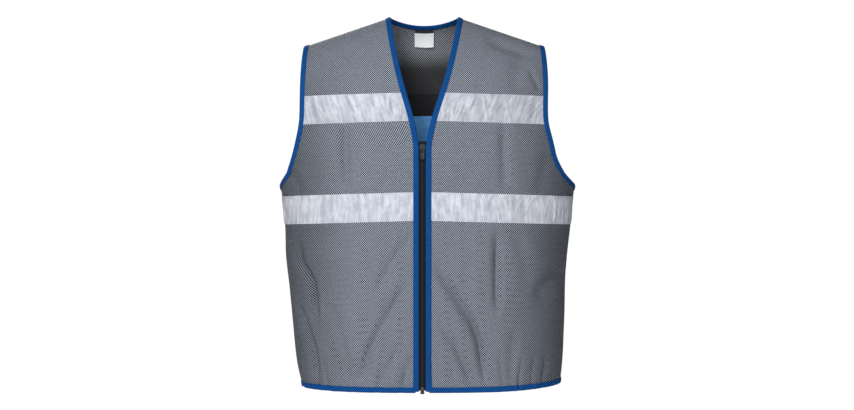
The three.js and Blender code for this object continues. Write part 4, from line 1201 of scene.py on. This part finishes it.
fine = levels(3.6)
side_ends = reach_in(BACK, fine, 1, 0, 14)
lining_rows = fine[(fine > 0.045) & (fine < BAND_LOW)]
lining_rows = np.concatenate([lining_rows, [BAND_LOW - 0.004]])
lining_end = np.interp(lining_rows, fine, side_ends)[:, None]
LINING_COLUMNS = np.linspace(-1, 1, 130)[None, :]
puff = ripples(31, 6, 30, 80, 1.5)
lining_u, lining_v = LINING_COLUMNS * lining_end, lining_rows[:, None]
puffed = -0.5 - 0.5 * puff(lining_u * 260, lining_v * 80)
lining_place = (lining_u, lining_v, LINING_INNER, LINING_OUTER)
inner_sheet("blue_back_lining", *lining_place, LINING, "lining", "back_lining", puffed)
band_v = np.linspace(BAND_LOW, BAND_HIGH, 24)[:, None]
band_end = np.interp(band_v[:, 0], fine, side_ends)[:, None]
band_place = (LINING_COLUMNS * band_end, band_v, BAND_INNER, BAND_OUTER)
inner_sheet("lining_top_band", *band_place, BAND, "dark_cloth", "lining_band")


def back_line(v, end, height, count=400):
    u = np.linspace(-end, end, count)
    p, n = cloth(BACK, u, v + 0 * u)
    return p + n * height, -n


def piping(name, v, end, height, radius, material, slot):
    """A rolled seam along a level line of the back, on its inside."""
    p, n = back_line(v, end, height, 260)
    way = unit(np.gradient(p, axis=0))
    side = np.cross(n, way)
    angles = np.linspace(0, 2 * math.pi, 9)[:-1]
    block = np.stack([p + (n * math.cos(a) + side * math.sin(a)) * radius for a in angles], axis=1)
    run = distances(p)
    made = tube(name, block, False, material, angles * radius, run)
    dress(made, slot)


band_reach = float(np.interp(BAND_HIGH, fine, side_ends)) - 0.01
piping("band_top_seam", BAND_HIGH - 0.004, band_reach, -2.1, 0.9, BAND, "dark_cloth")
piping("band_foot_seam", BAND_LOW + 0.01, band_reach, -2.0, 0.7, BAND, "dark_cloth")
band_seams = [back_line(v, band_reach, -2.15) for v in (BAND_HIGH - 0.02, BAND_LOW + 0.06)]
dress(stitches("band_stitches", band_seams, DARK_THREAD, 0.22), "dark_cloth")

# The label hangs from the neckline's binding, below its dark tab.
neckline = cloth(BACK, np.array(0.0), np.array(float(TOP)))[0]
climb = np.linspace(CHEST_HIGH, TOP, 1500)
middle_line = cloth(BACK, 0 * climb, climb)[0]
drop_to = np.linalg.norm(middle_line - neckline, axis=1)[::-1]
label_half = float(np.arcsin(np.sin(quarter) * (LABEL_WIDTH / NECK_WIDTH) * NECK_SHARE) / quarter)


def level_at(distance):
    return float(np.interp(distance, drop_to, climb[::-1]))


def label(name, start, height, half, material, slot, node_name, lift, curl):
    """A label that hangs from the neckline, stands off by lift and curls away at its foot."""
    rows = np.array([level_at(d) for d in np.linspace(start + height, start, LABEL_ROWS)])[:, None]
    columns = np.linspace(-half, half, 34)[None, :]
    share = np.linspace(1, 0, LABEL_ROWS)[:, None]
    away = -(curl * share**2) * (1 + 0.5 * np.sin(columns / half * 3))
    away = away - 0.15 * np.sin(columns / half * 9) * share
    inner_sheet(name, columns, rows, LABEL_INNER, LABEL_OUTER, material, slot, node_name, lift + away)


LABEL_ROWS = 26
# How far down each starts, its height and its half width.
tab = (BINDING_WIDTH - 2.8, LABEL_TAB_HEIGHT + 3.2, label_half * 0.94)
satin = (BINDING_WIDTH + LABEL_TAB_HEIGHT - 4, LABEL_HEIGHT + 1, label_half)
label("neck_label_tab", *tab, BAND, "dark_cloth", "label_tab", -0.4, 0.1)
label("bare_neck_label", *satin, LABEL, "label", "neck_label", -1.1, 1.2)

# Zip.

ZIP_BACK = 3.0
ZIP_TAPE_WALL = 1.0
CHAIN_FRONT = 1.8
CHAIN_WIDTH = 5.6
BEHIND_CHAIN = 1.1  # how far the tapes reach in behind the chain
TURN_SIDES = 8  # faces round one turn of the coil
zip_top = -SLIDER_DROP
zip_foot = -BODY_LENGTH + 9.3


def zip_face(z):
    z = np.asarray(z, float)
    return body_depth(0 * z, z, np.array(-1), RIGHT) - 0.15


def zip_strip(name, side, node_name):
    """One of the zip's tapes, with the thicker cord along its inner edge."""
    z = np.linspace(-BODY_LENGTH + 4, zip_top + 6, 200)
    ripple = 0.12 * np.sin(z / 5.3) + 0.1 * np.sin(z / 3.1 + 1)
    section = [(-1.5, 0.8), (0.2, 0.75), (0.8, -0.2), (1.4, -0.5), (2.0, -0.3), (2.6, 0.0), (6.0, 0.0)]
    section += [(ZIP_TAPE_WIDTH, 0.0), (ZIP_TAPE_WIDTH, ZIP_TAPE_WALL), (6.0, ZIP_TAPE_WALL)]
    section += [(2.6, ZIP_TAPE_WALL), (-1.5, ZIP_TAPE_WALL + 0.2)]
    start, back = CHAIN_WIDTH / 2 - BEHIND_CHAIN, zip_face(z) + ZIP_BACK + ripple
    block = np.stack([stack(ZIP_SHIFT + side * (start + x), back + y, z) for x, y in section], axis=1)
    around = distances(np.array(section))
    made = tube(name, block, False, ZIP_CLOTH, around, z)
    dress(made, "zip_cloth", node_name)


zip_strip("zip_cloth_right", -1, "zip_tape_right")
zip_strip("zip_cloth_left", 1, "zip_tape_left")


def zip_teeth():
    """Two rows of moulded coil turns that lock in the middle."""
    pitch = 1.5
    heights = np.arange(zip_top - 9, zip_foot + 1, -pitch / 2)
    side = np.where(np.arange(len(heights)) % 2 == 0, 1, -1)
    middle_y = zip_face(heights) + CHAIN_FRONT + 0.95
    rings = []
    profile = ((-0.7, 0.35, 0.5), (-0.45, 0.62, 0.85), (0.3, 0.62, 0.95))
    profile += ((1.6, 0.6, 1.0), (2.3, 0.5, 0.85), (2.65, 0.25, 0.5))
    for x, tall, deep in profile:
        for k in range(TURN_SIDES):
            angle = 2 * math.pi * (k + 0.5) / TURN_SIDES
            y = middle_y - math.cos(angle) * deep * 0.95
            rings.append(stack(ZIP_SHIFT + side * x, y, heights + math.sin(angle) * tall))
    block = np.stack(rings, axis=1)
    turn = ring_faces(len(profile), TURN_SIDES)
    faces = []
    for i in range(len(heights)):
        base = i * len(rings)
        turned = side[i] < 0
        for f in turn:
            face = [base + k for k in f]
            faces.append(face[::-1] if turned else face)
    made = new_object("zip_coil", block.reshape(-1, 3), faces, COIL, sharp=60)
    fix_facing(made)
    dress(made, "zip_nylon", "zip_chain")
    for s, hand in ((-1, "right"), (1, "left")):
        z = np.linspace(zip_top - 10, zip_foot + 2, 500)
        line = stack(ZIP_SHIFT + s * 1.5 + 0 * z, zip_face(z) + CHAIN_FRONT - 0.02, z)
        face_out = np.broadcast_to([0.0, -1.0, 0.0], line.shape)
        thread = stitches("zip_stitches_" + hand, [(line, face_out)], DARK_THREAD, 0.3, 2.4, 1.9)
        dress(thread, "zip_nylon")


zip_teeth()


def softened(name, node_name, material, width, slot, body="vest"):
    """A rounded copy of a hard piece of the frame, which it replaces."""
    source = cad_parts[node_name]
    made = bpy.data.objects.new(name, source.data.copy())
    scene.collection.objects.link(made)
    made.data.materials.clear()
    made.data.materials.append(material)
    made.matrix_world = source.matrix_world.copy()
    weld = made.modifiers.new("weld", "WELD")
    weld.merge_threshold = 0.01 * MM
    bevel = made.modifiers.new("bevel", "BEVEL")
    bevel.width, bevel.segments = width * MM, 3
    bevel.limit_method, bevel.angle_limit = "ANGLE", math.radians(28)
    evaluated = made.evaluated_get(bpy.context.evaluated_depsgraph_get())
    shaped = bpy.data.meshes.new_from_object(evaluated)
    made.modifiers.clear()
    made.data = shaped
    shaped.shade_smooth()
    shaped.set_sharp_from_angle(angle=math.radians(40))
    dress(made, slot, node_name, body=body)


softened("slider_body", "zip_slider", ENAMEL, 0.3, "black_metal")
softened("slider_pull", "zip_pull", ENAMEL, 0.25, "black_metal", body="zip_pull")
softened("zip_end_box", "zip_box", GUNMETAL, 0.6, "dark_metal")

# Stage, light, camera.

FLOOR_RADIUS, FLOOR_SIDES = 3.0, 96
FLOOR_HEIGHT = -1.2
FLOOR_GLOW = 0.4  # keeps the paper pale where the lamps don't reach
BACKDROP, SOFT_LIGHT = 1.05, 0.12  # strength of the white behind, and of its light on the vest
floor_mesh = bpy.data.meshes.new("studio_floor")
turns = np.linspace(0, 2 * math.pi, FLOOR_SIDES + 1)[:-1]
ring = [(FLOOR_RADIUS * math.cos(a), FLOOR_RADIUS * math.sin(a), FLOOR_HEIGHT) for a in turns]
floor_mesh.from_pydata(ring, [], [list(range(FLOOR_SIDES))])
floor = bpy.data.objects.new("studio_floor", floor_mesh)
scene.collection.objects.link(floor)
paper, tree, shader = new_material("white_paper")
tone = mixed(noise(object_place(tree), 40.0), (0.58, 0.58, 0.58), (0.62, 0.62, 0.62))
fill(shader, {"Base Color": tone, "Roughness": 0.9})
fill(shader, {"Emission Color": (1, 1, 1, 1), "Emission Strength": FLOOR_GLOW})
floor_mesh.materials.append(paper)

world = bpy.data.worlds.new("studio")
scene.world = world
world.use_nodes = True
sky = world.node_tree
sky.nodes.clear()
seen = node(sky, "Background", {"Color": (1, 1, 1, 1), "Strength": BACKDROP})
lit = node(sky, "Background", {"Color": (0.97, 0.985, 1.0, 1), "Strength": SOFT_LIGHT})
path = node(sky, "LightPath").outputs["Is Camera Ray"]
chosen = node(sky, "MixShader", {0: path, 1: lit.outputs[0], 2: seen.outputs[0]})
node(sky, "OutputWorld", {0: chosen.outputs[0]})


def area_light(name, place, size, power):
    """A square white lamp that faces the middle of the vest."""
    data = bpy.data.lights.new(name, "AREA")
    data.shape, data.size, data.size_y = "RECTANGLE", size, size
    data.energy = power
    light = bpy.data.objects.new(name, data)
    light.location = place
    scene.collection.objects.link(light)
    way = np.array(CENTRE) - np.array(place)
    light.rotation_euler = Vector(way).to_track_quat("-Z", "Y").to_euler()


CENTRE = (0.0, 0.0, -0.33)
area_light("key", (-0.8, -2.3, 1.25), 0.7, 68)
area_light("fill", (0.2, -3.2, 0.15), 1.0, 26)
area_light("back_left", (-1.1, 2.8, 0.9), 1.0, 58)
area_light("back_right", (0.8, 3.0, 0.6), 1.2, 34)

camera_data = bpy.data.cameras.new("camera")
camera_data.lens, camera_data.sensor_width = 81.5, 36
camera = bpy.data.objects.new("camera", camera_data)
camera.location = (0.0051, -3.5, -0.3375)
camera.rotation_euler = (math.pi / 2, 0, 0)
scene.collection.objects.link(camera)
scene.camera = camera
scene.view_settings.view_transform = "Standard"
